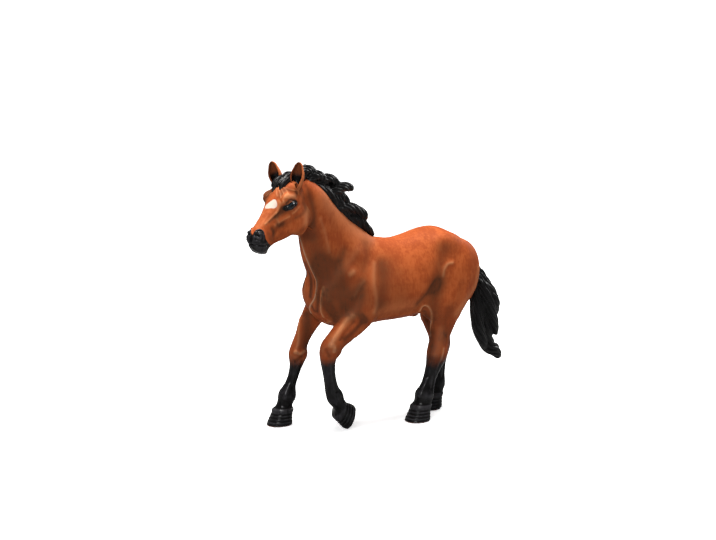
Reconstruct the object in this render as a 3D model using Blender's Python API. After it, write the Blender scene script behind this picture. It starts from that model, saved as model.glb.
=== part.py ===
"""Moulded toy horse, stepping forward with its left foreleg on the toe.

The figure faces -X, its left side faces -Y and it stands on the plane Z = 0. One skin is modelled
for the whole animal and then cut into the castings that the figure is assembled from: two cored
body shells that meet on the middle line, a head, four legs, two ears, a forelock, a mane and a tail.
Every casting after the shells has a peg or a keel that seats in a socket or a groove of its neighbour.
"""

import math

import bmesh
import bpy
from mathutils import Matrix, Vector

MM = 0.001

# Driving sizes of the figure
BODY_LENGTH = 80 * MM
WITHERS_HEIGHT = 75 * MM
BARREL_WIDTH = 26 * MM
NECK_DEPTH = 20 * MM
KNEE_DEPTH = 8 * MM
HEAD_LENGTH = 31 * MM
HEAD_WIDTH = 13.5 * MM
HOOF_WIDTH = 10.3 * MM
HOOF_HEIGHT = 6.5 * MM
TAIL_WIDTH = 13 * MM
EAR_LENGTH = 10 * MM
EAR_WIDTH = 7.0 * MM
MANE_WIDTH = 6.5 * MM
MANE_LOCK = 2.0 * MM

# Moulding sizes: CLEARANCE is the gap at flat and round joints, ROOM the gap at free-form ones, and
# OVERRUN is longer than the figure, for cutters that go right through it
CLEARANCE = 0.3 * MM
ROOM = 0.38 * MM
SKIN_GRAIN = 0.7 * MM
HAIR_GRAIN = 0.55 * MM
SHELL_WALL = 3.2 * MM
OVERRUN = 150 * MM
HEAD_TENON_RADIUS = 2.6 * MM
HEAD_TENON_LENGTH = 6 * MM
PLUG_RADIUS = 1.8 * MM
PLUG_LENGTH = 3.5 * MM
EAR_PEG_RADIUS = 0.9 * MM
EAR_PEG_LENGTH = 2.5 * MM
FORELOCK_PEG_LENGTH = 3 * MM
KEEL_WIDTH = 1.4 * MM
KEEL_DEPTH = 2.2 * MM
KEEL_RISE = 1.6 * MM
LOCATING_RADIUS = 1.5 * MM
LOCATING_LENGTH = 3 * MM
TENON_LENGTH = 5 * MM
TENON_TAPER_SHARE = 0.85
ENVELOPE_SHARES = (1.7, 2.2)
EAR_PEG_RISE_SHARE = 0.2

# Fineness of the surfaces
RING_SIDES = 20
LOCK_SIDES = 12
PEG_SIDES = 16
SMALL_PEG_SIDES = 10
EAR_SIDES = 14
STATION_STEPS = 4
COARSE_STEPS = 2
RING_FULLNESS = 2.2
SKIN_TRIANGLES = 5400
HEAD_TRIANGLES = 1650
MANE_TRIANGLES = 1500
TAIL_TRIANGLES = 620
FORELOCK_TRIANGLES = 260
SKIN_PASSES = 6
TAIL_PASSES = 3
HAIR_PASSES = 2
SMOOTHING_SHARE = 0.5

# Paints: colour and roughness
BAY = ((0.40, 0.125, 0.040), 0.45)
BLACK = ((0.018, 0.016, 0.016), 0.40)

# Trunk stations from breast to buttock: along the body, top, bottom, half width, narrowing of the top
TRUNK_SHARES = (
    (-0.006, 0.800, 0.720, 0.135, 0.00),
    (0.013, 0.853, 0.645, 0.288, 0.05),
    (0.075, 0.920, 0.568, 0.404, 0.15),
    (0.163, 0.980, 0.540, 0.450, 0.28),
    (0.263, 1.007, 0.540, 0.455, 0.35),
    (0.362, 1.008, 0.548, 0.465, 0.32),
    (0.450, 0.992, 0.549, 0.490, 0.22),
    (0.550, 1.008, 0.555, 0.508, 0.15),
    (0.625, 1.029, 0.573, 0.500, 0.12),
    (0.713, 1.035, 0.600, 0.485, 0.10),
    (0.787, 1.002, 0.620, 0.465, 0.10),
    (0.850, 0.960, 0.640, 0.415, 0.10),
    (0.900, 0.907, 0.660, 0.340, 0.08),
    (0.938, 0.847, 0.700, 0.230, 0.00),
    (0.956, 0.800, 0.747, 0.100, 0.00),
)

# Neck stations from withers to poll: along, aside, height, half depth, half width, narrowing of the crest
NECK_SHARES = (
    (0.250, 0.000, 0.827, 0.775, 0.365, 0.20),
    (0.163, -0.023, 0.913, 0.750, 0.338, 0.25),
    (0.100, -0.062, 0.997, 0.660, 0.285, 0.25),
    (0.047, -0.123, 1.083, 0.540, 0.250, 0.20),
    (-0.003, -0.200, 1.164, 0.435, 0.231, 0.15),
    (-0.052, -0.277, 1.230, 0.390, 0.215, 0.10),
    (-0.100, -0.335, 1.280, 0.330, 0.185, 0.05),
    (-0.140, -0.350, 1.312, 0.260, 0.160, 0.00),
)

# Leg stations from inside the trunk to the coronet: along, aside, height, half depth, half width
LEG_SHARES = {
    "left_foreleg": (
        (0.250, -0.327, 0.693, 1.06, 0.52),
        (0.200, -0.354, 0.620, 0.87, 0.57),
        (0.138, -0.373, 0.557, 0.66, 0.54),
        (0.081, -0.381, 0.507, 0.53, 0.46),
        (0.042, -0.385, 0.461, 0.53, 0.47),
        (0.034, -0.369, 0.407, 0.42, 0.37),
        (0.042, -0.346, 0.347, 0.34, 0.31),
        (0.055, -0.315, 0.287, 0.33, 0.30),
        (0.071, -0.281, 0.231, 0.38, 0.34),
        (0.092, -0.254, 0.189, 0.46, 0.42),
        (0.115, -0.231, 0.149, 0.35, 0.33),
        (0.135, -0.212, 0.117, 0.35, 0.35),
    ),
    "right_foreleg": (
        (0.163, 0.288, 0.720, 0.94, 0.50),
        (0.106, 0.338, 0.627, 0.70, 0.55),
        (0.062, 0.392, 0.547, 0.53, 0.46),
        (0.035, 0.431, 0.473, 0.41, 0.38),
        (0.017, 0.454, 0.420, 0.42, 0.39),
        (0.011, 0.462, 0.373, 0.49, 0.45),
        (0.001, 0.465, 0.320, 0.35, 0.32),
        (-0.011, 0.469, 0.271, 0.29, 0.28),
        (-0.029, 0.477, 0.216, 0.30, 0.28),
        (-0.046, 0.485, 0.159, 0.49, 0.42),
        (-0.066, 0.492, 0.112, 0.35, 0.33),
        (-0.075, 0.496, 0.080, 0.36, 0.35),
    ),
    "left_hind_leg": (
        (0.765, -0.238, 0.827, 1.46, 0.78),
        (0.748, -0.285, 0.693, 1.28, 0.75),
        (0.713, -0.331, 0.580, 0.90, 0.63),
        (0.690, -0.354, 0.493, 0.61, 0.49),
        (0.671, -0.369, 0.420, 0.53, 0.43),
        (0.659, -0.377, 0.353, 0.58, 0.46),
        (0.636, -0.385, 0.291, 0.42, 0.35),
        (0.616, -0.385, 0.233, 0.35, 0.31),
        (0.599, -0.385, 0.180, 0.38, 0.33),
        (0.584, -0.385, 0.139, 0.52, 0.46),
        (0.568, -0.385, 0.097, 0.38, 0.37),
        (0.560, -0.385, 0.067, 0.38, 0.37),
    ),
    "right_hind_leg": (
        (0.780, 0.238, 0.827, 1.46, 0.78),
        (0.772, 0.254, 0.693, 1.25, 0.75),
        (0.756, 0.246, 0.580, 0.85, 0.60),
        (0.762, 0.231, 0.493, 0.61, 0.48),
        (0.782, 0.208, 0.420, 0.53, 0.41),
        (0.795, 0.177, 0.353, 0.58, 0.44),
        (0.790, 0.155, 0.287, 0.41, 0.34),
        (0.783, 0.145, 0.227, 0.34, 0.30),
        (0.775, 0.138, 0.176, 0.39, 0.34),
        (0.765, 0.138, 0.136, 0.50, 0.44),
        (0.745, 0.130, 0.096, 0.37, 0.36),
        (0.735, 0.125, 0.067, 0.36, 0.36),
    ),
}

# Middle of each sole (along, aside, height) and the turn of its toe down from level, in turns
SOLE_SHARES = {
    "left_foreleg": ((0.190, -0.180, 0.056), 0.19),
    "right_foreleg": ((-0.090, 0.500, 0.0), 0.0),
    "left_hind_leg": ((0.545, -0.377, 0.0), 0.0),
    "right_hind_leg": ((0.720, 0.119, 0.0), 0.0),
}

# Hoof rings from sole to pastern: height, shift to the toe, half length, half width
HOOF_SHARES = (
    (0.00, 0.00, 0.53, 0.49),
    (0.35, -0.05, 0.48, 0.45),
    (0.75, -0.12, 0.42, 0.40),
    (0.92, -0.16, 0.43, 0.41),
    (1.15, -0.20, 0.34, 0.33),
)
SOLE_OVERRUN_SHARES = (-0.30, 0.04, 0.56, 0.51)

# Where each leg's tenon goes up into the trunk: middle of the joint, axis of the tenon, half depth and
# half width of the casting there, tenon radius, and the first leg station below the joint
JOINT_SHARES = {
    "left_foreleg": ((0.134, -0.362, 0.541), (0.76, 0.00, 0.65), (0.96, 0.84), 0.26, 4),
    "right_foreleg": ((0.075, 0.385, 0.567), (0.35, -0.15, 0.93), (0.90, 0.78), 0.26, 3),
    "left_hind_leg": ((0.702, -0.340, 0.540), (0.25, 0.10, 0.95), (1.10, 0.82), 0.34, 3),
    "right_hind_leg": ((0.755, 0.243, 0.540), (0.05, -0.05, 0.99), (1.10, 0.80), 0.34, 3),
}

# Muscles of one side: middle (along, aside, height), half sizes (length, width, height), lean in turns
MUSCLE_SHARES = {
    "shoulder_blade": ((0.165, 0.305, 0.770), (0.095, 0.122, 0.175), -0.09),
    "point_of_shoulder": ((0.070, 0.215, 0.730), (0.075, 0.165, 0.110), 0.00),
    "triceps": ((0.255, 0.345, 0.690), (0.100, 0.135, 0.110), 0.05),
    "thigh": ((0.795, 0.242, 0.770), (0.140, 0.245, 0.200), 0.03),
    "croup": ((0.700, 0.225, 0.895), (0.150, 0.225, 0.115), -0.03),
    "stifle": ((0.645, 0.335, 0.650), (0.075, 0.145, 0.110), 0.06),
}

BREAST_SHARES = ((0.045, 0.0, 0.700), (0.050, 0.190, 0.090), 0.0)
SHEATH_SHARES = ((0.592, 0.0, 0.560), (0.040, 0.080, 0.024), 0.0)

# Poll and upper lip: the two ends of the head's length (along, aside, height)
POLL_SHARES = (-0.166, -0.346, 1.355)
LIP_SHARES = (-0.428, -0.654, 1.087)

# Head stations from poll to lip: down, front and back of the axis, half width, narrowing to the front
HEAD_SHARES = (
    (-0.06, -0.05, 0.14, 0.16, 0.0),
    (0.02, 0.05, 0.26, 0.34, 0.0),
    (0.12, 0.09, 0.38, 0.43, 0.0),
    (0.24, 0.10, 0.44, 0.46, 0.05),
    (0.35, 0.09, 0.465, 0.45, 0.10),
    (0.46, 0.07, 0.480, 0.38, 0.12),
    (0.56, 0.055, 0.447, 0.31, 0.10),
    (0.66, 0.045, 0.388, 0.26, 0.05),
    (0.76, 0.040, 0.330, 0.245, 0.0),
    (0.86, 0.035, 0.300, 0.27, -0.05),
    (0.93, 0.010, 0.295, 0.27, -0.05),
    (0.985, -0.06, 0.23, 0.17, 0.0),
)

# Rounded forms of the head on both sides: middle (down, front, aside), half sizes (down, front, aside)
CHEEK_SHARES = {
    "jowl": ((0.300, -0.365, 0.32), (0.210, 0.20, 0.16)),
    "brow": ((0.295, -0.005, 0.350), (0.095, 0.088, 0.10)),
    "nostril": ((0.865, -0.02, 0.20), (0.055, 0.055, 0.10)),
    "temple": ((0.10, -0.04, 0.24), (0.10, 0.09, 0.16)),
    "nape": ((0.07, -0.20, 0.10), (0.17, 0.18, 0.28)),
}
CHIN_SHARES = ((0.90, -0.275, 0.0), (0.06, 0.055, 0.16))

# Crest of the neck from withers to poll: along, aside, height
CREST_SHARES = (
    (0.365, 0.000, 1.005),
    (0.262, -0.038, 1.072),
    (0.155, -0.115, 1.148),
    (0.060, -0.192, 1.227),
    (-0.044, -0.269, 1.295),
    (-0.100, -0.325, 1.335),
)

# Places along the crest that the mane's keel runs through
KEEL_SHARES = (0.325, 0.262, 0.155, 0.060, -0.030)

# Locks of the mane, each from root to tip: along, height
MANE_LOCK_SHARES = {
    "nape": ((-0.120, 1.340), (-0.092, 1.405), (-0.040, 1.405), (0.000, 1.352)),
    "loop": ((-0.070, 1.340), (-0.035, 1.374), (0.000, 1.380), (0.022, 1.356), (0.012, 1.330)),
    "arch": ((-0.010, 1.305), (0.020, 1.343), (0.068, 1.360), (0.118, 1.330), (0.142, 1.286)),
    "wave": ((0.055, 1.268), (0.106, 1.288), (0.155, 1.310), (0.198, 1.308), (0.203, 1.286)),
    "drop": ((0.055, 1.288), (0.119, 1.267), (0.168, 1.238), (0.194, 1.207)),
    "curl": ((0.120, 1.184), (0.176, 1.188), (0.232, 1.176), (0.282, 1.147), (0.288, 1.125), (0.268, 1.120)),
    "withers": ((0.172, 1.126), (0.234, 1.121), (0.278, 1.090), (0.317, 1.050), (0.350, 1.014)),
    "middle": ((-0.080, 1.322), (0.010, 1.298), (0.090, 1.250), (0.157, 1.188), (0.202, 1.146)),
    "low": ((-0.090, 1.318), (0.000, 1.272), (0.078, 1.220), (0.150, 1.161), (0.214, 1.105), (0.280, 1.054)),
}

# Each lock of the mane is made on both sides of the crest: the side, and its rise as a share of the drawn
# one; then how far aside the even and the odd locks lie, their width, and the thickness along any lock
LOCK_SIDE_SHARES = ((-1, 0.86), (1, 0.83))
LOCK_SPREAD_SHARES = (0.16, 0.24)
LOCK_WIDTH_SHARE = 0.30
LOCK_PROFILE_SHARES = (0.80, 1.00, 0.98, 0.80, 0.34)

# Locks of the tail from dock to tip: along, aside, height, and the half depth and half width of each
TAIL_LOCK_SHARES = {
    "core": (((0.935, 0.0, 0.775), (0.970, 0.0, 0.725), (1.003, 0.0, 0.620), (1.015, 0.0, 0.500),
              (1.035, 0.0, 0.390), (1.080, 0.0, 0.310)), (0.37, 0.32)),
    "outer": (((0.955, -0.02, 0.755), (1.018, -0.05, 0.672), (1.062, -0.06, 0.600), (1.080, -0.05, 0.545),
               (1.095, -0.03, 0.500)), (0.20, 0.24)),
    "middle": (((0.965, -0.06, 0.725), (1.000, -0.11, 0.640), (1.040, -0.11, 0.530), (1.075, -0.08, 0.440),
                (1.095, -0.04, 0.385)), (0.20, 0.18)),
    "inner": (((0.950, -0.04, 0.710), (0.955, -0.09, 0.575), (0.965, -0.10, 0.460), (1.008, -0.06, 0.360),
               (1.035, -0.02, 0.310)), (0.22, 0.20)),
    "tip": (((1.000, 0.02, 0.580), (1.002, 0.03, 0.450), (1.050, 0.02, 0.335), (1.095, 0.01, 0.290),
             (1.128, 0.0, 0.247)), (0.28, 0.24)),
    "far": (((0.970, 0.08, 0.710), (1.020, 0.11, 0.600), (1.050, 0.11, 0.480), (1.065, 0.08, 0.380),
             (1.080, 0.04, 0.300)), (0.22, 0.18)),
}

# Tufts of the forelock on the head: down, front, aside from root to tip, and the half size of each
FORELOCK_SHARES = {
    "crown": (((-0.09, -0.04, 0.00), (-0.04, 0.03, -0.02), (0.03, 0.07, -0.04), (0.12, 0.09, -0.06)), 0.055),
    "far": (((0.00, 0.03, -0.10), (0.07, 0.07, -0.15), (0.14, 0.085, -0.19), (0.20, 0.080, -0.22)), 0.048),
    "middle": (((0.00, 0.05, 0.02), (0.09, 0.08, -0.01), (0.18, 0.095, -0.06), (0.28, 0.090, -0.08)), 0.038),
    "near": (((-0.01, 0.03, 0.12), (0.07, 0.07, 0.13), (0.15, 0.085, 0.11), (0.23, 0.080, 0.10)), 0.038),
}

FORELOCK_PEG_SHARES = (0.08, 0.08, -0.05)

# Ears: base on the head (down, front, aside) and tip (along, aside, height); the stations run from base
# to tip and give the place on the ear, the depth, the width and how far the front is hollowed
EAR_SHARES = {
    "left_ear": ((0.08, -0.05, 0.31), (-0.145, -0.538, 1.450), (-0.80, -0.60)),
    "right_ear": ((0.08, -0.03, -0.31), (-0.233, -0.192, 1.447), (-0.97, -0.24)),
}
EAR_STATION_SHARES = ((-0.10, 0.40, 0.62, 0.0), (0.08, 0.46, 0.78, 0.0), (0.22, 0.48, 0.90, 0.4),
                      (0.40, 0.46, 1.00, 1.0), (0.62, 0.38, 0.84, 1.1), (0.84, 0.26, 0.46, 0.8),
                      (1.00, 0.10, 0.12, 0.0))

# Pockets and locating pegs of the body shells (along, height); the half length and half height of a
# pocket, and the half width of the barrel beside it
POCKET_SHARES = ((0.325, 0.790), (0.440, 0.785), (0.555, 0.790))
POCKET_HALF_SHARES = (0.046, 0.120)
POCKET_FLANK_SHARE = 0.42
LOCATING_SHARES = ((0.100, 0.800), (0.860, 0.800), (0.060, 1.030))


def spot(along, aside, height):
    """A point from its shares: breast to buttock, barrel width, withers height."""
    return Vector((along * BODY_LENGTH, aside * BARREL_WIDTH, height * WITHERS_HEIGHT))


POLL = spot(*POLL_SHARES)
LIP = spot(*LIP_SHARES)
HEAD_DOWN = (LIP - POLL).normalized()
HEAD_LEFT = Vector((-HEAD_DOWN.y, HEAD_DOWN.x, 0)).normalized()
HEAD_FRONT = HEAD_DOWN.cross(HEAD_LEFT).normalized()


def head_spot(down, front, aside):
    """A point of the head: shares of its length down and to the front, and of its width to the left."""
    along_face = HEAD_DOWN * down + HEAD_FRONT * front
    return POLL + along_face * HEAD_LENGTH + HEAD_LEFT * (aside * HEAD_WIDTH)


def smooth_rows(rows, steps):
    """The rows with others between them, on a Catmull-Rom curve through every column."""
    padded = [rows[0], *rows, rows[-1]]
    made = []
    for before, first, second, after in zip(padded, padded[1:], padded[2:], padded[3:]):
        for step in range(steps):
            t = step / steps
            made.append(tuple(
                0.5 * (2 * b + (c - a) * t + (2 * a - 5 * b + 4 * c - d) * t**2
                       + (3 * b - a - 3 * c + d) * t**3)
                for a, b, c, d in zip(before, first, second, after)
            ))
    made.append(tuple(rows[-1]))
    return made


def loft(rings):
    """A closed skin over rings of equal counts, with a pole at each end."""
    made = bmesh.new()
    loops = [[made.verts.new(point) for point in ring] for ring in rings]
    count = len(loops[0])
    for lower, upper in zip(loops, loops[1:]):
        for i in range(count):
            j = (i + 1) % count
            made.faces.new((lower[i], lower[j], upper[j], upper[i]))
    for loop in (loops[0], loops[-1]):
        pole = made.verts.new(sum((v.co for v in loop), Vector()) / count)
        for i in range(count):
            made.faces.new((loop[i], loop[(i + 1) % count], pole))
    bmesh.ops.recalc_face_normals(made, faces=made.faces)
    return made


def oval(centre, across, fore, narrowing=0, fullness=RING_FULLNESS, sides=RING_SIDES):
    """A ring round a centre from its two half axes, as an egg that narrows towards the fore axis."""
    ring = []
    for i in range(sides):
        angle = math.tau * i / sides
        u = math.cos(angle)
        v = math.sin(angle)
        u = math.copysign(abs(u) ** (2 / fullness), u)
        v = math.copysign(abs(v) ** (2 / fullness), v)
        ring.append(centre + across * (u * (1 - narrowing * v)) + fore * v)
    return ring


def limb(stations, steps=STATION_STEPS, sides=RING_SIDES, grow=0):
    """A tube along stations of (centre, half depth, half width, narrowing), its rings square to its run."""
    flat = [(*centre, depth, width, narrowing) for centre, depth, width, narrowing in stations]
    rows = smooth_rows(flat, steps)
    centres = [Vector(row[:3]) for row in rows]
    rings = []
    for i, row in enumerate(rows):
        run = (centres[min(i + 1, len(rows) - 1)] - centres[max(i - 1, 0)]).normalized()
        across = (Vector((0, 1, 0)) - run * run.y).normalized()
        fore = across.cross(run).normalized()
        rings.append(oval(centres[i], across * (row[4] + grow), fore * (row[3] + grow), row[5], sides=sides))
    return loft(rings)


def ball(middle, half, axes=None, lean=0):
    """An ellipsoid with its half sizes along the given axes, leaned about the Y axis by a share of a turn."""
    frame = axes or Matrix.Rotation(math.tau * lean, 3, "Y")
    shape = Matrix.Translation(middle) @ frame.to_4x4() @ Matrix.Diagonal((*half, 1))
    made = bmesh.new()
    bmesh.ops.create_uvsphere(made, u_segments=RING_SIDES, v_segments=RING_SIDES // 2, radius=1, matrix=shape)
    return made


def peg(start, end, radius, sides=PEG_SIDES, taper=1):
    """A round peg from one point to another."""
    run = end - start
    middle = Matrix.Translation((start + end) / 2)
    shape = middle @ run.to_track_quat("Z", "Y").to_matrix().to_4x4()
    made = bmesh.new()
    bmesh.ops.create_cone(made, cap_ends=True, segments=sides, radius1=radius, radius2=radius * taper,
                          depth=run.length, matrix=shape)
    return made


def block(low, high):
    made = bmesh.new()
    size = high - low
    shape = Matrix.Translation((low + high) / 2) @ Matrix.Diagonal((*size, 1))
    bmesh.ops.create_cube(made, size=1, matrix=shape)
    return made


def slab(outline, low, high):
    """A closed outline of (x, y) points raised from one height to another."""
    made = bmesh.new()
    floor = [made.verts.new((x, y, low)) for x, y in outline]
    face = made.faces.new(floor)
    raised = bmesh.ops.extrude_face_region(made, geom=[face])
    top = [v for v in raised["geom"] if isinstance(v, bmesh.types.BMVert)]
    bmesh.ops.translate(made, verts=top, vec=(0, 0, high - low))
    bmesh.ops.recalc_face_normals(made, faces=made.faces)
    return made


def add(name, solids, helper=False):
    """An object from one or more bmesh solids; a helper is only a guide or a cutter."""
    joined = bmesh.new()
    for solid in solids:
        piece = bpy.data.meshes.new("solid")
        solid.to_mesh(piece)
        joined.from_mesh(piece)
        solid.free()
        bpy.data.meshes.remove(piece)
    mesh = bpy.data.meshes.new(name)
    joined.to_mesh(mesh)
    joined.free()
    made = bpy.data.objects.new(name, mesh)
    bpy.context.collection.objects.link(made)
    if helper:
        made.hide_render = True
        made.display_type = "WIRE"
    return made


def settled(name, source):
    """A new helper with the mesh that the source's modifiers make; the source is removed."""
    seen = source.evaluated_get(bpy.context.evaluated_depsgraph_get())
    mesh = bpy.data.meshes.new_from_object(seen)
    bpy.data.objects.remove(source)
    made = bpy.data.objects.new(name, mesh)
    bpy.context.collection.objects.link(made)
    made.hide_render = True
    made.display_type = "WIRE"
    return made


def fused(name, solids, grain, triangles, passes):
    """A helper of the solids melted into one skin, smoothed and thinned."""
    rough = add("rough", solids)
    remesh = rough.modifiers.new("fuse", "REMESH")
    remesh.mode = "VOXEL"
    remesh.voxel_size = grain
    smooth = rough.modifiers.new("smooth", "SMOOTH")
    smooth.factor = SMOOTHING_SHARE
    smooth.iterations = passes
    melted = settled("melted", rough)
    thin = melted.modifiers.new("thin", "DECIMATE")
    thin.ratio = min(1, triangles / (2 * len(melted.data.polygons)))
    return settled(name, melted)


def levelled(name, skin):
    """The skin cut flat along the ground."""
    below = block(Vector((-OVERRUN, -OVERRUN, -OVERRUN)), Vector((OVERRUN, OVERRUN, 0)))
    ground = add("ground_cutter", [below], helper=True)
    cut(skin, ground)
    made = settled(name, skin)
    bpy.data.objects.remove(ground)
    return made


def grown(name, source, distance, triangles):
    """A helper round the source, with its surface moved out by a distance."""
    swollen = bpy.data.objects.new("swollen", source.data.copy())
    bpy.context.collection.objects.link(swollen)
    swell = swollen.modifiers.new("swell", "DISPLACE")
    swell.mid_level = 0
    swell.strength = distance
    remesh = swollen.modifiers.new("clean", "REMESH")
    remesh.mode = "VOXEL"
    remesh.voxel_size = HAIR_GRAIN
    clean = settled("clean", swollen)
    thin = clean.modifiers.new("thin", "DECIMATE")
    thin.ratio = min(1, triangles / (2 * len(clean.data.polygons)))
    return settled(name, clean)


def cut(body, cutter, operation="DIFFERENCE"):
    work = body.modifiers.new(cutter.name, "BOOLEAN")
    work.operation = operation
    work.solver = "EXACT"
    work.object = cutter


def muscle(shares, side):
    (along, aside, height), (length, width, tall), lean = shares
    half = (length * BODY_LENGTH, width * BARREL_WIDTH, tall * WITHERS_HEIGHT)
    return ball(spot(along, side * aside, height), half, lean=lean)


def trunk():
    rings = []
    for along, top, bottom, width, narrowing in smooth_rows(TRUNK_SHARES, STATION_STEPS):
        centre = spot(along, 0, (top + bottom) / 2)
        tall = Vector((0, 0, (top - bottom) / 2 * WITHERS_HEIGHT))
        wide = Vector((0, width * BARREL_WIDTH, 0))
        rings.append(oval(centre, wide, tall, narrowing))
    return loft(rings)


def neck_stations():
    return [
        (spot(*row[:3]), row[3] * NECK_DEPTH, row[4] * BARREL_WIDTH, row[5])
        for row in NECK_SHARES
    ]


def leg_stations(name):
    return [(spot(*row[:3]), row[3] * KNEE_DEPTH, row[4] * KNEE_DEPTH, 0) for row in LEG_SHARES[name]]


def crest(along):
    """How far aside the neck's middle surface lies and how high its crest is, both as shares."""
    if along >= CREST_SHARES[0][0]:
        return CREST_SHARES[0][1:]
    pairs = list(zip(CREST_SHARES, CREST_SHARES[1:]))
    near, far = next((pair for pair in pairs if along >= pair[1][0]), pairs[-1])
    t = (near[0] - along) / (near[0] - far[0])
    height = near[2] + (far[2] - near[2]) * min(t, 1)
    return near[1] + (far[1] - near[1]) * t, height


def hoof(name):
    place, pitch = SOLE_SHARES[name]
    turn = math.tau * pitch
    toe = Vector((-math.cos(turn), 0, -math.sin(turn)))
    rise = Vector((-math.sin(turn), 0, math.cos(turn)))
    side = Vector((0, 1, 0))
    rows = HOOF_SHARES if pitch else (SOLE_OVERRUN_SHARES, *HOOF_SHARES)
    rings = []
    for height, shift, length, width in smooth_rows(rows, COARSE_STEPS):
        centre = spot(*place) + rise * (height * HOOF_HEIGHT) + toe * (shift * HOOF_WIDTH)
        rings.append(oval(centre, side * (width * HOOF_WIDTH), toe * (length * HOOF_WIDTH)))
    return loft(rings)


def leg_envelope(name, grow=0):
    """A roomy tube round the free part of a leg, with a flat end at the leg's joint with the trunk."""
    place, axis, (depth, width), _, first = JOINT_SHARES[name]
    axis = Vector(axis).normalized()
    start = spot(*place)
    stations = [(start + axis * grow, depth * KNEE_DEPTH, width * KNEE_DEPTH, 0)]
    below = leg_stations(name)[first:]
    narrow, wide = ENVELOPE_SHARES
    for number, (centre, half_depth, half_width, _) in enumerate(below, 1):
        share = narrow + (wide - narrow) * number / len(below)
        stations.append((centre, half_depth * share, half_width * share, 0))
    end = spot(*SOLE_SHARES[name][0]) - Vector((0, 0, HOOF_HEIGHT))
    stations.append((end, HOOF_WIDTH, HOOF_WIDTH, 0))
    return limb(stations, COARSE_STEPS, LOCK_SIDES, grow)


def leg_tenon(name, grow=0):
    place, axis, _, share, _ = JOINT_SHARES[name]
    axis = Vector(axis).normalized()
    start = spot(*place)
    radius = share * KNEE_DEPTH
    return peg(start - axis * radius, start + axis * (TENON_LENGTH + grow), radius + grow,
               taper=TENON_TAPER_SHARE)


def head_form(shares, side=1):
    """A rounded form of the head from its middle and half sizes (down, front, aside)."""
    middle, half = shares
    axes = Matrix((HEAD_DOWN, HEAD_FRONT, HEAD_LEFT)).transposed()
    size = (half[0] * HEAD_LENGTH, half[1] * HEAD_LENGTH, half[2] * HEAD_WIDTH)
    return ball(head_spot(middle[0], middle[1], side * middle[2]), size, axes)


def head_solids():
    rings = []
    for down, front, back, width, narrowing in smooth_rows(HEAD_SHARES, STATION_STEPS):
        centre = head_spot(down, (front - back) / 2, 0)
        fore = HEAD_FRONT * ((front + back) / 2 * HEAD_LENGTH)
        rings.append(oval(centre, HEAD_LEFT * (width * HEAD_WIDTH), fore, narrowing))
    forms = [head_form(shares, side) for shares in CHEEK_SHARES.values() for side in (-1, 1)]
    return [loft(rings), *forms, head_form(CHIN_SHARES)]


def lock(points, half_depth, half_width):
    """A tapering lock of hair through its points."""
    rows = smooth_rows([tuple(point) for point in points], COARSE_STEPS)
    spans = len(LOCK_PROFILE_SHARES) - 1
    stations = []
    for i, row in enumerate(rows):
        place = i / (len(rows) - 1) * spans
        low = min(int(place), spans - 1)
        near, far = LOCK_PROFILE_SHARES[low:low + 2]
        share = near + (far - near) * (place - low)
        stations.append((Vector(row), half_depth * share, half_width * share, 0))
    return limb(stations, COARSE_STEPS, LOCK_SIDES)


def mane_solids():
    solids = []
    for number, points in enumerate(MANE_LOCK_SHARES.values()):
        for side, rise in LOCK_SIDE_SHARES:
            spread = Vector((0, side * LOCK_SPREAD_SHARES[number % 2] * MANE_WIDTH, 0))
            places = []
            for along, height in points:
                aside, foot = crest(along)
                places.append(spot(along, aside, foot + (height - foot) * rise) + spread)
            solids.append(lock(places, MANE_LOCK, MANE_WIDTH * LOCK_WIDTH_SHARE))
    return solids


def keel(grow=0):
    """A thin ribbon along the crest, which lies in the groove between the shells."""
    half = KEEL_WIDTH / 2 + grow
    foot = -KEEL_DEPTH - grow
    outline = [(-half, foot), (half, foot), (half, KEEL_RISE), (-half, KEEL_RISE)]
    rows = [(along, *crest(along)) for along in KEEL_SHARES]
    return loft([
        [spot(*row) + Vector((0, across, up)) for across, up in outline]
        for row in smooth_rows(rows, COARSE_STEPS)
    ])


def tail_solids():
    solids = []
    for points, (depth, width) in TAIL_LOCK_SHARES.values():
        solids.append(lock([spot(*point) for point in points], depth * TAIL_WIDTH, width * TAIL_WIDTH))
    return solids


def forelock_solids():
    return [
        lock([head_spot(*point) for point in points], half * HEAD_LENGTH, half * HEAD_LENGTH)
        for points, half in FORELOCK_SHARES.values()
    ]


def ear_frame(name):
    base, tip, heading = EAR_SHARES[name]
    start, end = head_spot(*base), spot(*tip)
    run = (end - start).normalized()
    opening = Vector((*heading, 0))
    opening = (opening - run * opening.dot(run)).normalized()
    return start, end, opening, run.cross(opening)


def ear_shell(name):
    """A pointed leaf whose front is hollowed between its two rims."""
    start, end, opening, across = ear_frame(name)
    rings = []
    for place, depth, width, hollow in smooth_rows(EAR_STATION_SHARES, COARSE_STEPS):
        centre = start.lerp(end, place)
        half_width = width * EAR_WIDTH / 2
        half_depth = depth * EAR_WIDTH / 2
        ring = []
        for i in range(EAR_SIDES):
            angle = math.tau * i / EAR_SIDES
            front = math.sin(angle)
            if front > 0:
                front -= hollow * front**2
            ring.append(centre + across * (math.cos(angle) * half_width) + opening * (front * half_depth))
        rings.append(ring)
    return loft(rings)


def ear_room(name):
    """The space that an ear needs, with no hollow."""
    start, end, opening, across = ear_frame(name)
    rings = []
    for place, depth, width, _ in smooth_rows(EAR_STATION_SHARES, COARSE_STEPS):
        centre = start.lerp(end, place)
        half_width = width * EAR_WIDTH / 2 + CLEARANCE
        half_depth = depth * EAR_WIDTH / 2 + CLEARANCE
        rings.append(oval(centre, across * half_width, opening * half_depth, fullness=2, sides=EAR_SIDES))
    return loft(rings)


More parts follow.
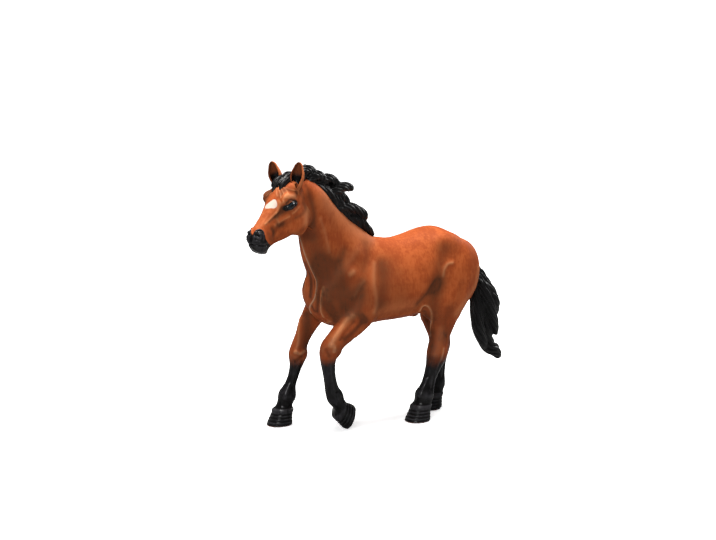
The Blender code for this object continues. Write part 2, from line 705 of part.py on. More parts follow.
def half_space(side):
    """One side of the parting surface, which follows the bend of the neck."""
    gap = side * CLEARANCE / 2
    line = [(OVERRUN, gap)]
    for along, aside, _ in CREST_SHARES:
        line.append((along * BODY_LENGTH, aside * BARREL_WIDTH + gap))
    (x0, y0), (x1, y1) = line[-2:]
    reach = OVERRUN / (x0 - x1)
    line.append((x1 - (x0 - x1) * reach, y1 - (y0 - y1) * reach))
    far = side * OVERRUN
    line += [(line[-1][0], far), (line[0][0], far)]
    return slab(line, -OVERRUN, OVERRUN)


def pocket(side, place):
    """A cored pocket of a shell, open on the parting surface and kept a wall away from the skin."""
    along, height = place
    low = spot(along - POCKET_HALF_SHARES[0], 0, height - POCKET_HALF_SHARES[1])
    high = spot(along + POCKET_HALF_SHARES[0], 0, height + POCKET_HALF_SHARES[1])
    edges = sorted((side * -CLEARANCE, side * (BARREL_WIDTH * POCKET_FLANK_SHARE - SHELL_WALL)))
    return block(Vector((low.x, edges[0], low.z)), Vector((high.x, edges[1], high.z)))


def locating_peg(place, grow=0):
    along, height = place
    middle = spot(along, crest(along)[0], height)
    reach = Vector((0, LOCATING_LENGTH, 0))
    return peg(middle - reach, middle + reach + Vector((0, grow, 0)), LOCATING_RADIUS + grow)


def head_tenon(grow=0):
    near = spot(*NECK_SHARES[-2][:3])
    inner = spot(*NECK_SHARES[-4][:3])
    run = (inner - near).normalized()
    return peg(near - run * HEAD_TENON_RADIUS, near + run * (HEAD_TENON_LENGTH + grow),
               HEAD_TENON_RADIUS + grow, taper=TENON_TAPER_SHARE)


def tail_plug(grow=0):
    first, second = (spot(*point) for point in TAIL_LOCK_SHARES["core"][0][:2])
    run = (first - second).normalized()
    return peg(second, first + run * (PLUG_LENGTH + grow), PLUG_RADIUS + grow, taper=TENON_TAPER_SHARE)


def ear_peg(name, grow=0):
    start, end, _, _ = ear_frame(name)
    run = (end - start).normalized()
    top = start + run * (EAR_LENGTH * EAR_PEG_RISE_SHARE)
    return peg(top, start - run * (EAR_PEG_LENGTH + grow), EAR_PEG_RADIUS + grow, SMALL_PEG_SIDES)


def forelock_peg(grow=0):
    top = head_spot(*FORELOCK_PEG_SHARES)
    foot = top - HEAD_FRONT * (FORELOCK_PEG_LENGTH + grow)
    return peg(top, foot, EAR_PEG_RADIUS + grow, SMALL_PEG_SIDES)


def painted(body, paint):
    """Give a casting a paint of its own."""
    colour, roughness = paint
    coat = bpy.data.materials.new(body.name + "_paint")
    coat.use_nodes = True
    shader = coat.node_tree.nodes["Principled BSDF"]
    shader.inputs["Base Color"].default_value = (*colour, 1)
    shader.inputs["Roughness"].default_value = roughness
    body.data.materials.clear()
    body.data.materials.append(coat)
    body.data.shade_smooth()


def helper(name, *solids):
    return add(name, solids, helper=True)


def casting(name, source):
    """A new casting that starts as a copy of a skin."""
    made = bpy.data.objects.new(name, source.data.copy())
    made.data.name = name
    bpy.context.collection.objects.link(made)
    return made


def body_skin():
    """The whole animal but for its head and hair, flat where it stands on the ground."""
    solids = [trunk(), limb(neck_stations())]
    solids += [limb(leg_stations(name)) for name in LEG_SHARES]
    solids += [hoof(name) for name in LEG_SHARES]
    solids += [muscle(shares, side) for shares in MUSCLE_SHARES.values() for side in (-1, 1)]
    solids += [muscle(BREAST_SHARES, 1), muscle(SHEATH_SHARES, 1)]
    return levelled("skin", fused("standing_skin", solids, SKIN_GRAIN, SKIN_TRIANGLES, SKIN_PASSES))


def leg(name, skin):
    made = casting(name, skin)
    cut(made, helper(name + "_envelope", leg_envelope(name)), "INTERSECT")
    cut(made, helper(name + "_tenon", leg_tenon(name)), "UNION")
    painted(made, BAY)


def body_shell(name, side, skin, cutters):
    """One half of trunk and neck, cored behind the barrel and cut to seat what joins it."""
    made = casting(name, skin)
    cut(made, helper(name + "_side", half_space(side)), "INTERSECT")
    for cutter in cutters:
        cut(made, cutter)
    cut(made, helper(name + "_pockets", *(pocket(side, place) for place in POCKET_SHARES)))
    painted(made, BAY)
    return made


def body_shells(skin, head_room):
    """The two shells, with the locating pegs on the left one and their holes in the right one."""
    rooms = {name: helper(name + "_room", leg_envelope(name, CLEARANCE)) for name in LEG_SHARES}
    sockets = {name: helper(name + "_socket", leg_tenon(name, CLEARANCE)) for name in LEG_SHARES}
    shared = [
        head_room,
        helper("head_socket", head_tenon(CLEARANCE)),
        helper("groove", keel(CLEARANCE)),
        helper("dock_socket", tail_plug(CLEARANCE)),
    ]
    left = [rooms["left_foreleg"], rooms["left_hind_leg"], rooms["right_hind_leg"],
            sockets["left_foreleg"], sockets["left_hind_leg"]]
    right = [rooms["right_foreleg"], rooms["right_hind_leg"], rooms["left_foreleg"],
             sockets["right_foreleg"], sockets["right_hind_leg"]]
    left_shell = body_shell("body_left_shell", -1, skin, shared + left)
    right_shell = body_shell("body_right_shell", 1, skin, shared + right)
    for number, place in enumerate(LOCATING_SHARES):
        cut(left_shell, helper(f"locating_peg_{number}", locating_peg(place)), "UNION")
    cut(right_shell, helper("locating_holes", *(locating_peg(place, CLEARANCE) for place in LOCATING_SHARES)))


def head(head_skin):
    made = casting("head", head_skin)
    cut(made, helper("head_tenon", head_tenon()), "UNION")
    for name in EAR_SHARES:
        cut(made, helper(name + "_hole", ear_peg(name, CLEARANCE)))
    cut(made, helper("forelock_hole", forelock_peg(CLEARANCE)))
    painted(made, BAY)


def ear(name, head_room):
    made = add(name, [ear_shell(name)])
    cut(made, head_room)
    cut(made, helper(name + "_peg", ear_peg(name)), "UNION")
    painted(made, BAY)


def hair(name, hair_skin, rooms, root):
    """A casting of hair, cleared of what it lies on, with the peg, plug or keel that holds it."""
    made = casting(name, hair_skin)
    for room in rooms:
        cut(made, room)
    cut(made, helper(name + "_root", root), "UNION")
    painted(made, BLACK)


def stand_on_origin(skins):
    """Parent everything to an empty that brings the figure's middle over the origin."""
    places = [v.co for skin in skins for v in skin.data.vertices]
    standing = bpy.data.objects.new("standing_point", None)
    bpy.context.collection.objects.link(standing)
    for axis in (0, 1):
        reach = [place[axis] for place in places]
        standing.location[axis] = -(min(reach) + max(reach)) / 2
    for item in list(bpy.data.objects):
        if item is not standing:
            item.parent = standing


def main():
    for old in list(bpy.data.objects):
        bpy.data.objects.remove(old)
    skin = body_skin()
    head_skin = fused("head_skin", head_solids(), HAIR_GRAIN, HEAD_TRIANGLES, SKIN_PASSES)
    mane_skin = fused("mane_skin", mane_solids(), HAIR_GRAIN, MANE_TRIANGLES, HAIR_PASSES)
    tail_skin = fused("tail_skin", tail_solids(), HAIR_GRAIN, TAIL_TRIANGLES, TAIL_PASSES)
    forelock_skin = fused("forelock_skin", forelock_solids(), HAIR_GRAIN, FORELOCK_TRIANGLES, HAIR_PASSES)

    skin_room = grown("skin_room", skin, ROOM, SKIN_TRIANGLES)
    head_room = grown("head_room", head_skin, ROOM, HEAD_TRIANGLES)
    forelock_room = grown("forelock_room", forelock_skin, ROOM, FORELOCK_TRIANGLES)
    ear_rooms = [helper(name + "_room", ear_room(name)) for name in EAR_SHARES]

    body_shells(skin, head_room)
    for name in LEG_SHARES:
        leg(name, skin)
    head(head_skin)
    for name in EAR_SHARES:
        ear(name, head_room)
    hair("forelock", forelock_skin, [head_room, *ear_rooms], forelock_peg())
    hair("mane", mane_skin, [skin_room, head_room, *ear_rooms, forelock_room], keel())
    hair("tail", tail_skin, [skin_room], tail_plug())
    stand_on_origin((skin, head_skin, mane_skin, tail_skin, forelock_skin))


main()
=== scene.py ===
"""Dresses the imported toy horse: a fine modelled skin, sculpted hair, painted coat, floor, light and camera.

All places are in the part's own frame: -X towards the nose, -Y towards the horse's left side, +Z up.
Places on the trunk and the legs are shares of body length, barrel width and withers height, measured from the
breast. Places on the head are shares of its length and width, measured down, front and aside from the poll.
"""

import math

import bmesh
import bpy
import numpy as np
from mathutils import Matrix, Vector
from mathutils.bvhtree import BVHTree


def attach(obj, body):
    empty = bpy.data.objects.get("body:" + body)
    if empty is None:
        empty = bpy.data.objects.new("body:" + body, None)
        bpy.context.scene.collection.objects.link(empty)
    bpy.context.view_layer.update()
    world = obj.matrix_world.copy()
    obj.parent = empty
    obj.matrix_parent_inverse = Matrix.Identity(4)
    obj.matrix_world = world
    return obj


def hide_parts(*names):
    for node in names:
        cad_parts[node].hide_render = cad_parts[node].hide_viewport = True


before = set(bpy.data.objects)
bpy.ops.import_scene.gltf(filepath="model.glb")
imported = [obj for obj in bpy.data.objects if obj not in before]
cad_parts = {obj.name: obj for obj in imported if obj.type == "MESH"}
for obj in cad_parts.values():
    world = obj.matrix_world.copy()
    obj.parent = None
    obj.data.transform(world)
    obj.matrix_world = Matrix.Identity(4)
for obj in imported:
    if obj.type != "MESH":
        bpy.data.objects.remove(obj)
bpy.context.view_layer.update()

bl_info = {
    "name": "Toy horse dresser",
    "version": (1, 0, 0),
    "blender": (4, 5, 0),
    "location": "View3D > Sidebar > Toy horse",
    "description": "Builds the fine skin, hair, eyes and paint of a moulded toy horse on its packed frame",
    "category": "Object",
}

MM = 0.001

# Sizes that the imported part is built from
BODY_LENGTH = 80 * MM
WITHERS_HEIGHT = 75 * MM
BARREL_WIDTH = 26 * MM
HEAD_LENGTH = 31 * MM
HEAD_WIDTH = 13.5 * MM
HOOF_WIDTH = 10.3 * MM
HOOF_HEIGHT = 6.5 * MM
TAIL_WIDTH = 13 * MM
MANE_WIDTH = 6.5 * MM
BREAST = Vector((-28.46 * MM, 0.93 * MM, 0))

# Castings, by the names of their nodes
BODY_SHELLS = ("body_left_shell", "body_right_shell")
LEGS = ("left_foreleg", "right_foreleg", "left_hind_leg", "right_hind_leg")
CUT_OFF = ("head", *LEGS)
EARS = ("left_ear", "right_ear")

# Middle line of head and neck: poll, lip, and the crest from the withers up
POLL_SHARES = (-0.166, -0.346, 1.355)
LIP_SHARES = (-0.428, -0.654, 1.087)
CREST_SHARES = (
    (0.365, 0.0, 1.005),
    (0.262, -0.038, 1.072),
    (0.155, -0.115, 1.148),
    (0.06, -0.192, 1.227),
    (-0.044, -0.269, 1.295),
    (-0.1, -0.325, 1.335),
)

# The skin: how it is melted, cut and evened
MERGE = 0.002 * MM
HAIRLINE = 0.012 * MM
CLOSING = 0.35 * MM
SMALLEST_RUN = 1e-12
HEAD_BAND = 1.2 * MM
HEAD_CUT_AXIS = (0.83, 0.557)
SEAM_MARGIN = 0.03
SEAM_PASSES = 40
MEND_BAND = (0.6 * MM, 1.3 * MM)
MEND_PASSES = 60
ROUND_SHARES = (0.58, 0.72)
ROUND_PASSES = 50
FINE_PASSES = 2
RELIEF_PASSES = 24
RELIEF_DEPTH = 0.20 * MM
MARK_REACH = 2.6

# How squarely a surface faces aside or front where a mark on it begins and is full
FLANK_FORM_FACING = (0.10, 0.45)
FLANK_PAINT_FACING = (0.05, 0.35)
FACE_FORM_FACING = (0.12, 0.45)
FACE_PAINT_FACING = (0.05, 0.30)
NOSE_FORM_FACING = (0.15, 0.55)
NOSE_PAINT_FACING = (0.1, 0.4)
TENDON_FACING = (0.3, 0.7)
SOLE_FACING = (0.3, 0.7)


class Stroke:
    """A line of places with a form modelled and paint laid along it.

    Each of the two has its half width in millimetres, and then the form its rise in millimetres and the paint
    its tint: light above nought, pale above one and shade below nought. The light is painted highlight, the
    pale a brighter painted highlight together with the toy's own pale lines, and the shade is painted shade
    together with the toy's airbrushed brown.
    """

    def __init__(self, line, form=(1.0, 0.0), paint=(1.0, 0.0)):
        self.line = line
        self.form = form
        self.paint = paint


# Strokes on both flanks, their tints painted highlight and painted shade: (along, height) shares
FLANK_MARKS = {
    "jugular groove": Stroke(
        ((-0.045, 1.06), (-0.018, 0.983), (0.012, 0.907), (0.035, 0.841), (0.032, 0.801)),
        form=(2.2, -0.25), paint=(4.4, -0.7)),
    "base of the neck": Stroke(((0.025, 0.9), (0.038, 0.845), (0.034, 0.8)), paint=(5.6, -0.55)),
    "under the jowl": Stroke(
        ((-0.1, 1.26), (-0.075, 1.16), (-0.045, 1.06)), form=(1.6, -0.2), paint=(2.4, -0.35)),
    "neck strap": Stroke(
        ((-0.018, 1.154), (0.001, 1.11), (0.02, 1.066), (0.046, 0.969)),
        form=(0.9, 0.22), paint=(0.7, 0.35)),
    "neck hollow": Stroke(
        ((0.03, 1.22), (0.066, 1.123), (0.098, 1.046), (0.119, 0.972)),
        form=(2.6, -0.15), paint=(2.4, -0.15)),
    "blade ridge": Stroke(
        ((0.208, 0.962), (0.161, 0.916), (0.109, 0.861), (0.07, 0.801)),
        form=(1.8, 0.22), paint=(1.8, 0.25)),
    "before the blade": Stroke(
        ((0.137, 0.97), (0.104, 0.912), (0.078, 0.868)), form=(1.6, -0.18), paint=(2.0, -0.3)),
    "behind the blade": Stroke(
        ((0.27, 0.979), (0.264, 0.914), (0.236, 0.857)), form=(2.0, -0.22), paint=(2.4, -0.4)),
    "shoulder point": Stroke(((0.151, 0.846), (0.171, 0.857)), form=(1.6, 0.32), paint=(1.0, 0.85)),
    "arm line": Stroke(
        ((0.226, 0.803), (0.194, 0.771), (0.169, 0.732)), form=(0.9, 0.18), paint=(0.7, 0.45)),
    "triceps hollow": Stroke(
        ((0.215, 0.79), (0.198, 0.76), (0.179, 0.711), (0.151, 0.672)),
        form=(1.8, -0.25), paint=(3.0, -0.7)),
    "elbow": Stroke(((0.11, 0.76), (0.118, 0.716), (0.141, 0.662)), form=(2.0, -0.1), paint=(3.8, -0.45)),
    "triceps edge": Stroke(
        ((0.297, 0.881), (0.283, 0.827), (0.277, 0.773), (0.283, 0.715), (0.284, 0.667), (0.271, 0.637)),
        form=(1.3, 0.32), paint=(1.0, 0.55)),
    "girth": Stroke(
        ((0.334, 0.87), (0.331, 0.82), (0.325, 0.758), (0.318, 0.674)),
        form=(3.2, -0.34), paint=(3.4, -0.62)),
    "behind the girth": Stroke(((0.383, 0.854), (0.4, 0.792), (0.415, 0.712)), paint=(5.5, -0.36)),
    "flank": Stroke(
        ((0.696, 0.932), (0.669, 0.882), (0.652, 0.831), (0.638, 0.779), (0.62, 0.738)),
        form=(3.2, -0.3), paint=(3.0, -0.5)),
    "flank fold": Stroke(
        ((0.626, 0.748), (0.59, 0.714), (0.558, 0.685), (0.528, 0.649)),
        form=(1.1, -0.42), paint=(1.7, -0.65)),
    "hip hook": Stroke(
        ((0.727, 0.852), (0.699, 0.848), (0.677, 0.824), (0.668, 0.786)),
        form=(0.9, 0.28), paint=(0.6, 0.9)),
    "point of hip": Stroke(((0.668, 0.975), (0.69, 0.985)), form=(2.0, 0.22)),
    "hip": Stroke(((0.768, 0.965), (0.704, 0.941), (0.666, 0.944)), paint=(3.0, -0.18)),
    "thigh front": Stroke(
        ((0.645, 0.744), (0.628, 0.678), (0.618, 0.62), (0.626, 0.55)),
        form=(2.0, -0.12), paint=(3.8, -0.72)),
    "low chest": Stroke(((0.01, 0.7), (0.06, 0.66), (0.12, 0.64)), paint=(4.5, -0.42)),
    "back of the thigh": Stroke(
        ((0.865, 0.93), (0.868, 0.8), (0.84, 0.68), (0.8, 0.58)), form=(1.8, -0.2), paint=(2.0, -0.1)),
    "buttock": Stroke(
        ((0.905, 0.8), (0.874, 0.694), (0.828, 0.646), (0.777, 0.606), (0.744, 0.572)),
        form=(1.2, 0.12), paint=(1.6, 0.5)),
    "thigh hollow": Stroke(
        ((0.781, 0.726), (0.754, 0.648), (0.718, 0.587)), form=(2.2, -0.15), paint=(2.2, -0.2)),
    "belly": Stroke(((0.28, 0.6), (0.35, 0.606), (0.463, 0.615), (0.514, 0.62)), paint=(1.6, -0.15)),
    "gaskin": Stroke(((0.7, 0.6), (0.69, 0.52), (0.685, 0.46)), form=(1.2, -0.16), paint=(3.0, -0.45)),
    "crest light": Stroke(
        ((0.03, 1.25), (0.08, 1.205), (0.16, 1.13), (0.24, 1.06), (0.3, 1.02)), paint=(4.2, 0.42)),
    "shoulder": Stroke(((0.17, 0.92), (0.115, 0.905), (0.126, 0.869)), paint=(5.5, -0.42)),
    "upper arm": Stroke(((0.05, 0.81), (0.096, 0.769), (0.17, 0.72), (0.228, 0.7)), paint=(6.5, -0.5)),
    "belly light": Stroke(((0.3, 0.635), (0.4, 0.645), (0.5, 0.645)), paint=(3.2, 0.28)),
}

# Strokes on both sides of the face, their tints painted highlight and painted shade: (down, front) shares
FACE_MARKS = {
    "socket": Stroke(
        ((0.265, -0.12), (0.312, -0.098), (0.365, -0.075)), form=(1.9, -0.5), paint=(2.2, -0.9)),
    "temple hollow": Stroke(((0.13, -0.06), (0.165, -0.085)), form=(1.2, -0.4), paint=(1.2, -0.3)),
    "upper lid": Stroke(
        ((0.238, -0.136), (0.258, -0.085), (0.288, -0.046), (0.335, -0.036), (0.386, -0.06)),
        form=(0.36, 0.34)),
    "lid crease": Stroke(
        ((0.232, -0.11), (0.256, -0.056), (0.29, -0.014), (0.34, -0.006)),
        form=(0.34, -0.2), paint=(0.6, -0.8)),
    "lower lid": Stroke(
        ((0.238, -0.136), (0.29, -0.15), (0.338, -0.143), (0.372, -0.106), (0.386, -0.06)),
        form=(0.34, 0.3)),
    "under the lid": Stroke(
        ((0.36, -0.172), (0.296, -0.19), (0.23, -0.198)), form=(0.5, 0.16), paint=(0.5, 0.5)),
    "tear line": Stroke(
        ((0.4, -0.052), (0.46, -0.06), (0.53, -0.055)), form=(0.6, -0.25), paint=(1.2, -0.85)),
    "facial crest": Stroke(
        ((0.42, -0.165), (0.5, -0.14), (0.62, -0.115)), form=(0.75, 0.34), paint=(0.6, 0.4)),
    "under the crest": Stroke(
        ((0.44, -0.24), (0.55, -0.195), (0.68, -0.175)), form=(1.1, -0.34), paint=(1.1, -0.25)),
    "cheek hollow": Stroke(
        ((0.591, -0.125), (0.566, -0.161), (0.53, -0.182)), form=(0.9, -0.22), paint=(1.3, -0.85)),
    "bar hollow": Stroke(
        ((0.677, -0.109), (0.681, -0.159), (0.717, -0.192)), form=(0.9, -0.2), paint=(1.0, -0.85)),
    "cheek line": Stroke(
        ((0.146, -0.23), (0.175, -0.307), (0.271, -0.305), (0.362, -0.257)),
        form=(1.0, -0.22), paint=(1.0, -0.55)),
    "jaw": Stroke(((0.369, -0.452), (0.44, -0.448), (0.503, -0.399)), paint=(1.1, -0.45)),
    "cheek": Stroke(((0.14, -0.34), (0.235, -0.38), (0.281, -0.43)), form=(1.4, 0.12), paint=(1.9, 0.65)),
    "edge of the jowl": Stroke(
        ((0.06, -0.32), (0.12, -0.47), (0.25, -0.56), (0.4, -0.56)), form=(0.8, 0.22), paint=(0.9, 0.5)),
    "throat": Stroke(((0.06, -0.34), (0.14, -0.5), (0.27, -0.6)), paint=(0.8, -0.25)),
    "bars": Stroke(((0.6, -0.29), (0.7, -0.28)), form=(1.1, -0.18), paint=(1.0, -0.2)),
    "long vein": Stroke(
        ((0.363, 0.042), (0.435, -0.003), (0.5, -0.021), (0.604, -0.014), (0.694, -0.003)),
        form=(0.36, 0.16), paint=(0.5, 0.6)),
    "under the vein": Stroke(
        ((0.4, -0.03), (0.48, -0.05), (0.56, -0.04), (0.64, -0.03)), form=(0.4, -0.1), paint=(0.6, -0.6)),
    "short vein": Stroke(
        ((0.5, -0.021), (0.553, -0.085), (0.575, -0.151)), form=(0.34, 0.14), paint=(0.5, 0.45)),
    "brow": Stroke(((0.282, 0.05), (0.233, -0.005), (0.19, -0.063)), form=(1.0, 0.14), paint=(0.9, 0.9)),
    "base of the ear": Stroke(((0.02, -0.15), (0.06, -0.08), (0.12, -0.06)), paint=(1.1, -0.8)),
    "temple": Stroke(((0.098, -0.045), (0.099, -0.193)), paint=(0.9, -0.45)),
    "corner of the mouth": Stroke(((0.76, -0.1), (0.775, -0.17), (0.76, -0.23)), paint=(0.8, -0.5)),
}

# Strokes laid on the head's surface on both sides, their tints painted shade on the forehead and pale strands
# over it:
# (down, front, aside) shares
HEAD_MARKS = {
    "nostril rim": Stroke(
        ((0.868, 0.028, 0.069), (0.836, 0.029, 0.094), (0.799, 0.008, 0.155), (0.803, -0.019, 0.214),
         (0.84, -0.045, 0.27), (0.878, -0.07, 0.275)), form=(0.45, 0.48)),
    "nostril": Stroke(((0.882, 0.018, 0.12), (0.88, 0.008, 0.2), (0.878, -0.01, 0.25)), form=(0.6, -1.1)),
    "nostril floor": Stroke(
        ((0.938, -0.02, 0.1), (0.938, -0.029, 0.17), (0.925, -0.049, 0.231)), form=(0.4, 0.24)),
    "mouth": Stroke(
        ((0.985, -0.06, 0.0), (0.967, -0.075, 0.154), (0.934, -0.12, 0.254), (0.873, -0.182, 0.257)),
        form=(0.32, -0.32)),
    "lower lip": Stroke(
        ((0.985, -0.12, 0.0), (0.985, -0.169, 0.06), (0.95, -0.205, 0.17), (0.88, -0.225, 0.2)),
        form=(0.7, 0.2)),
    "chin groove": Stroke(
        ((0.86, -0.262, 0.15), (0.83, -0.25, 0.18), (0.79, -0.265, 0.19)), form=(0.8, -0.25)),
    "forehead": Stroke(
        ((0.281, 0.072, 0.192), (0.211, 0.067, 0.224), (0.168, 0.025, 0.322)), paint=(1.5, -0.6)),
    "strand one": Stroke(
        ((0.213, 0.095, 0.047), (0.272, 0.078, 0.168), (0.327, 0.056, 0.274)),
        form=(0.26, 0.16), paint=(0.24, 1.3)),
    "strand two": Stroke(
        ((0.199, 0.091, 0.092), (0.255, 0.064, 0.251), (0.314, 0.058, 0.404)),
        form=(0.26, 0.16), paint=(0.24, 1.3)),
    "strand three": Stroke(
        ((0.186, 0.081, 0.169), (0.207, 0.049, 0.287), (0.26, 0.043, 0.413)),
        form=(0.26, 0.16), paint=(0.24, 1.3)),
    "strand four": Stroke(
        ((0.217, 0.096, 0.0), (0.288, 0.091, 0.079), (0.32, 0.077, 0.146)),
        form=(0.26, 0.16), paint=(0.24, 0.9)),
    "strand five": Stroke(
        ((0.173, 0.062, 0.235), (0.159, 0.016, 0.335), (0.12, -0.033, 0.393)),
        form=(0.26, 0.16), paint=(0.24, 0.8)),
}

# Strokes on the front of the face, their tints painted highlight: (down, aside) shares, made on both sides
NOSE_MARKS = {
    "nasal bone": Stroke(((0.48, 0.2), (0.64, 0.15), (0.78, 0.13)), form=(0.7, 0.16), paint=(1.4, 0.2)),
    "bridge": Stroke(((0.5, 0.0), (0.6, 0.0), (0.75, 0.0)), form=(0.6, -0.08), paint=(1.6, 0.15)),
    "between the nostrils": Stroke(((0.85, 0.0), (0.94, 0.0)), form=(0.7, -0.28)),
}

# Single strokes, their tints painted highlight and painted shade: (along, aside, height) shares
SINGLE_MARKS = {
    "throat latch": Stroke(
        ((-0.101, -0.493, 1.326), (-0.084, -0.511, 1.275), (-0.065, -0.493, 1.222),
         (-0.051, -0.458, 1.168), (-0.05, -0.403, 1.115)), form=(0.9, -0.15), paint=(1.3, -0.6)),
    # Painted shade on the right brow only, where the brow lies in shade
    "right brow": Stroke(
        ((-0.295, -0.319, 1.263), (-0.288, -0.32, 1.283), (-0.272, -0.318, 1.299)), paint=(2.3, -0.95)),
    "front of the neck": Stroke(
        ((-0.085, -0.12, 1.085), (-0.075, -0.145, 1.042), (-0.058, -0.139, 0.983),
         (-0.034, -0.154, 0.914), (-0.003, -0.162, 0.843), (0.006, -0.186, 0.812), (0.0, -0.207, 0.767),
         (-0.002, -0.17, 0.723), (-0.001, -0.051, 0.683), (0.008, 0.047, 0.649), (0.03, 0.11, 0.625)),
        form=(0.42, 0.32), paint=(0.52, 1.4)),
    "right of the ridge": Stroke(
        ((-0.034, -0.06, 0.899), (-0.006, -0.052, 0.832), (-0.006, -0.083, 0.781), (-0.005, -0.042, 0.72)),
        form=(1.0, -0.25), paint=(1.3, -0.8)),
    "second pectoral": Stroke(
        ((0.021, -0.302, 0.786), (0.015, -0.308, 0.756), (0.008, -0.297, 0.719), (0.011, -0.279, 0.686),
         (0.023, -0.228, 0.649), (0.042, -0.196, 0.619)), form=(0.5, 0.34), paint=(0.5, 1.15)),
    "pectoral hollow": Stroke(
        ((0.004, -0.244, 0.769), (0.001, -0.26, 0.717), (0.017, -0.13, 0.642)),
        form=(0.8, -0.35), paint=(1.0, -0.55)),
    "pectoral fork": Stroke(
        ((0.003, -0.06, 0.667), (0.012, -0.073, 0.646)), form=(0.8, -0.2), paint=(0.9, -0.6)),
    "shoulder front": Stroke(
        ((0.027, -0.33, 0.771), (0.038, -0.358, 0.719)), form=(1.2, 0.2), paint=(1.2, 0.3)),
    "arm shade": Stroke(
        ((0.036, -0.341, 0.687), (0.057, -0.345, 0.653), (0.088, -0.328, 0.611)),
        form=(1.4, -0.2), paint=(2.0, -0.7)),
    "right chest": Stroke(
        ((-0.002, 0.227, 0.74), (-0.001, 0.202, 0.709)), form=(1.0, 0.25), paint=(0.9, 0.6)),
    "right pectoral": Stroke(
        ((0.01, 0.11, 0.8), (0.01, 0.13, 0.7), (0.05, 0.12, 0.62)), form=(1.2, 0.28), paint=(1.0, 0.2)),
    "between the forelegs": Stroke(
        ((0.097, 0.222, 0.559), (0.072, -0.107, 0.577), (0.07, -0.243, 0.597)),
        form=(0.5, 0.1), paint=(0.6, 0.8)),
    "left stifle skin": Stroke(
        ((0.555, -0.364, 0.601), (0.559, -0.431, 0.632), (0.581, -0.435, 0.635), (0.597, -0.443, 0.62),
         (0.61, -0.443, 0.594), (0.626, -0.381, 0.545), (0.632, -0.323, 0.501), (0.626, -0.356, 0.461)),
        form=(0.55, 0.4), paint=(0.5, 1.15)),
    "right stifle skin": Stroke(
        ((0.6, 0.42, 0.65), (0.665, 0.36, 0.57), (0.69, 0.33, 0.48)), form=(0.6, 0.3), paint=(0.5, 0.6)),
    "left inner thigh": Stroke(
        ((0.579, -0.392, 0.595), (0.6, -0.36, 0.55)), form=(0.8, -0.2), paint=(1.2, -0.55)),
    "right inner thigh": Stroke(((0.71, 0.154, 0.487), (0.726, 0.168, 0.433)), paint=(1.6, -0.5)),
    "left forearm ridge": Stroke(
        ((0.149, -0.507, 0.632), (0.12, -0.484, 0.615), (0.087, -0.483, 0.575), (0.053, -0.486, 0.531),
         (0.027, -0.507, 0.494)), form=(0.9, 0.36), paint=(1.2, 1.0)),
    "left forearm groove": Stroke(
        ((0.15, -0.52, 0.6), (0.112, -0.52, 0.56), (0.078, -0.52, 0.515)),
        form=(0.8, -0.28), paint=(0.8, -0.25)),
    "left forearm rear": Stroke(
        ((0.201, -0.527, 0.601), (0.172, -0.533, 0.57), (0.141, -0.521, 0.544), (0.102, -0.523, 0.517)),
        form=(1.2, -0.2), paint=(1.3, -0.75)),
    "left forearm top": Stroke(((0.196, -0.528, 0.623), (0.22, -0.52, 0.598)), paint=(1.6, -0.8)),
    "left knee": Stroke(
        ((0.027, -0.507, 0.494), (0.041, -0.523, 0.483), (0.04, -0.524, 0.462)),
        form=(0.8, 0.3), paint=(0.9, 0.9)),
    "left knee shade": Stroke(
        ((0.004, -0.481, 0.469), (0.017, -0.5, 0.437)), form=(0.8, -0.15), paint=(0.9, -0.5)),
    "left knee back": Stroke(((0.085, -0.44, 0.445), (0.08, -0.43, 0.425)), form=(0.9, 0.5)),
    "right forearm ridge": Stroke(
        ((0.006, 0.42, 0.57), (0.004, 0.384, 0.514), (-0.003, 0.361, 0.451), (-0.019, 0.367, 0.398)),
        form=(0.9, 0.3), paint=(0.9, 0.35)),
    "right forearm shade": Stroke(
        ((0.027, 0.305, 0.592), (0.034, 0.279, 0.539), (0.038, 0.307, 0.482), (0.039, 0.347, 0.425)),
        form=(1.2, -0.22), paint=(3.0, -1.0)),
    "right knee": Stroke(
        ((-0.015, 0.357, 0.399), (0.003, 0.333, 0.39), (0.026, 0.338, 0.4)),
        form=(0.7, 0.28), paint=(0.6, 0.9)),
    "right knee shade": Stroke(
        ((0.008, 0.332, 0.37), (-0.019, 0.37, 0.349)), form=(0.8, -0.2), paint=(1.0, -0.7)),
    "right knee back": Stroke(((0.05, 0.45, 0.385), (0.048, 0.45, 0.36)), form=(0.9, 0.5)),
    "right fetlock": Stroke(((-0.051, 0.418, 0.219), (-0.079, 0.391, 0.154)), form=(0.8, 0.16)),
    "left gaskin front": Stroke(
        ((0.621, -0.368, 0.47), (0.622, -0.42, 0.4), (0.605, -0.44, 0.34)), paint=(2.4, -0.8)),
    "left gaskin": Stroke(
        ((0.661, -0.485, 0.493), (0.648, -0.494, 0.413), (0.626, -0.491, 0.361)),
        form=(1.6, 0.14), paint=(1.8, 0.3)),
    "left point of hock": Stroke(((0.705, -0.375, 0.395), (0.7, -0.38, 0.37)), form=(1.1, 0.5)),
    "left hock tendon": Stroke(
        ((0.672, -0.5, 0.39), (0.663, -0.513, 0.352), (0.646, -0.496, 0.303), (0.632, -0.478, 0.254),
         (0.628, -0.457, 0.197), (0.618, -0.481, 0.151)), form=(0.45, 0.26), paint=(0.45, 0.7)),
    "left hock hollow": Stroke(((0.69, -0.44, 0.46), (0.685, -0.45, 0.4)), form=(0.9, -0.25)),
    "left cannon": Stroke(
        ((0.585, -0.437, 0.23), (0.563, -0.443, 0.184), (0.542, -0.461, 0.144)), form=(0.6, 0.24)),
    "right point of hock": Stroke(((0.845, 0.175, 0.395), (0.843, 0.175, 0.37)), form=(1.1, 0.5)),
    "right hock side": Stroke(((0.795, 0.07, 0.37), (0.793, 0.07, 0.33)), form=(1.0, 0.25)),
    "right hock hollow": Stroke(((0.82, 0.11, 0.46), (0.822, 0.1, 0.4)), form=(0.9, -0.25)),
}

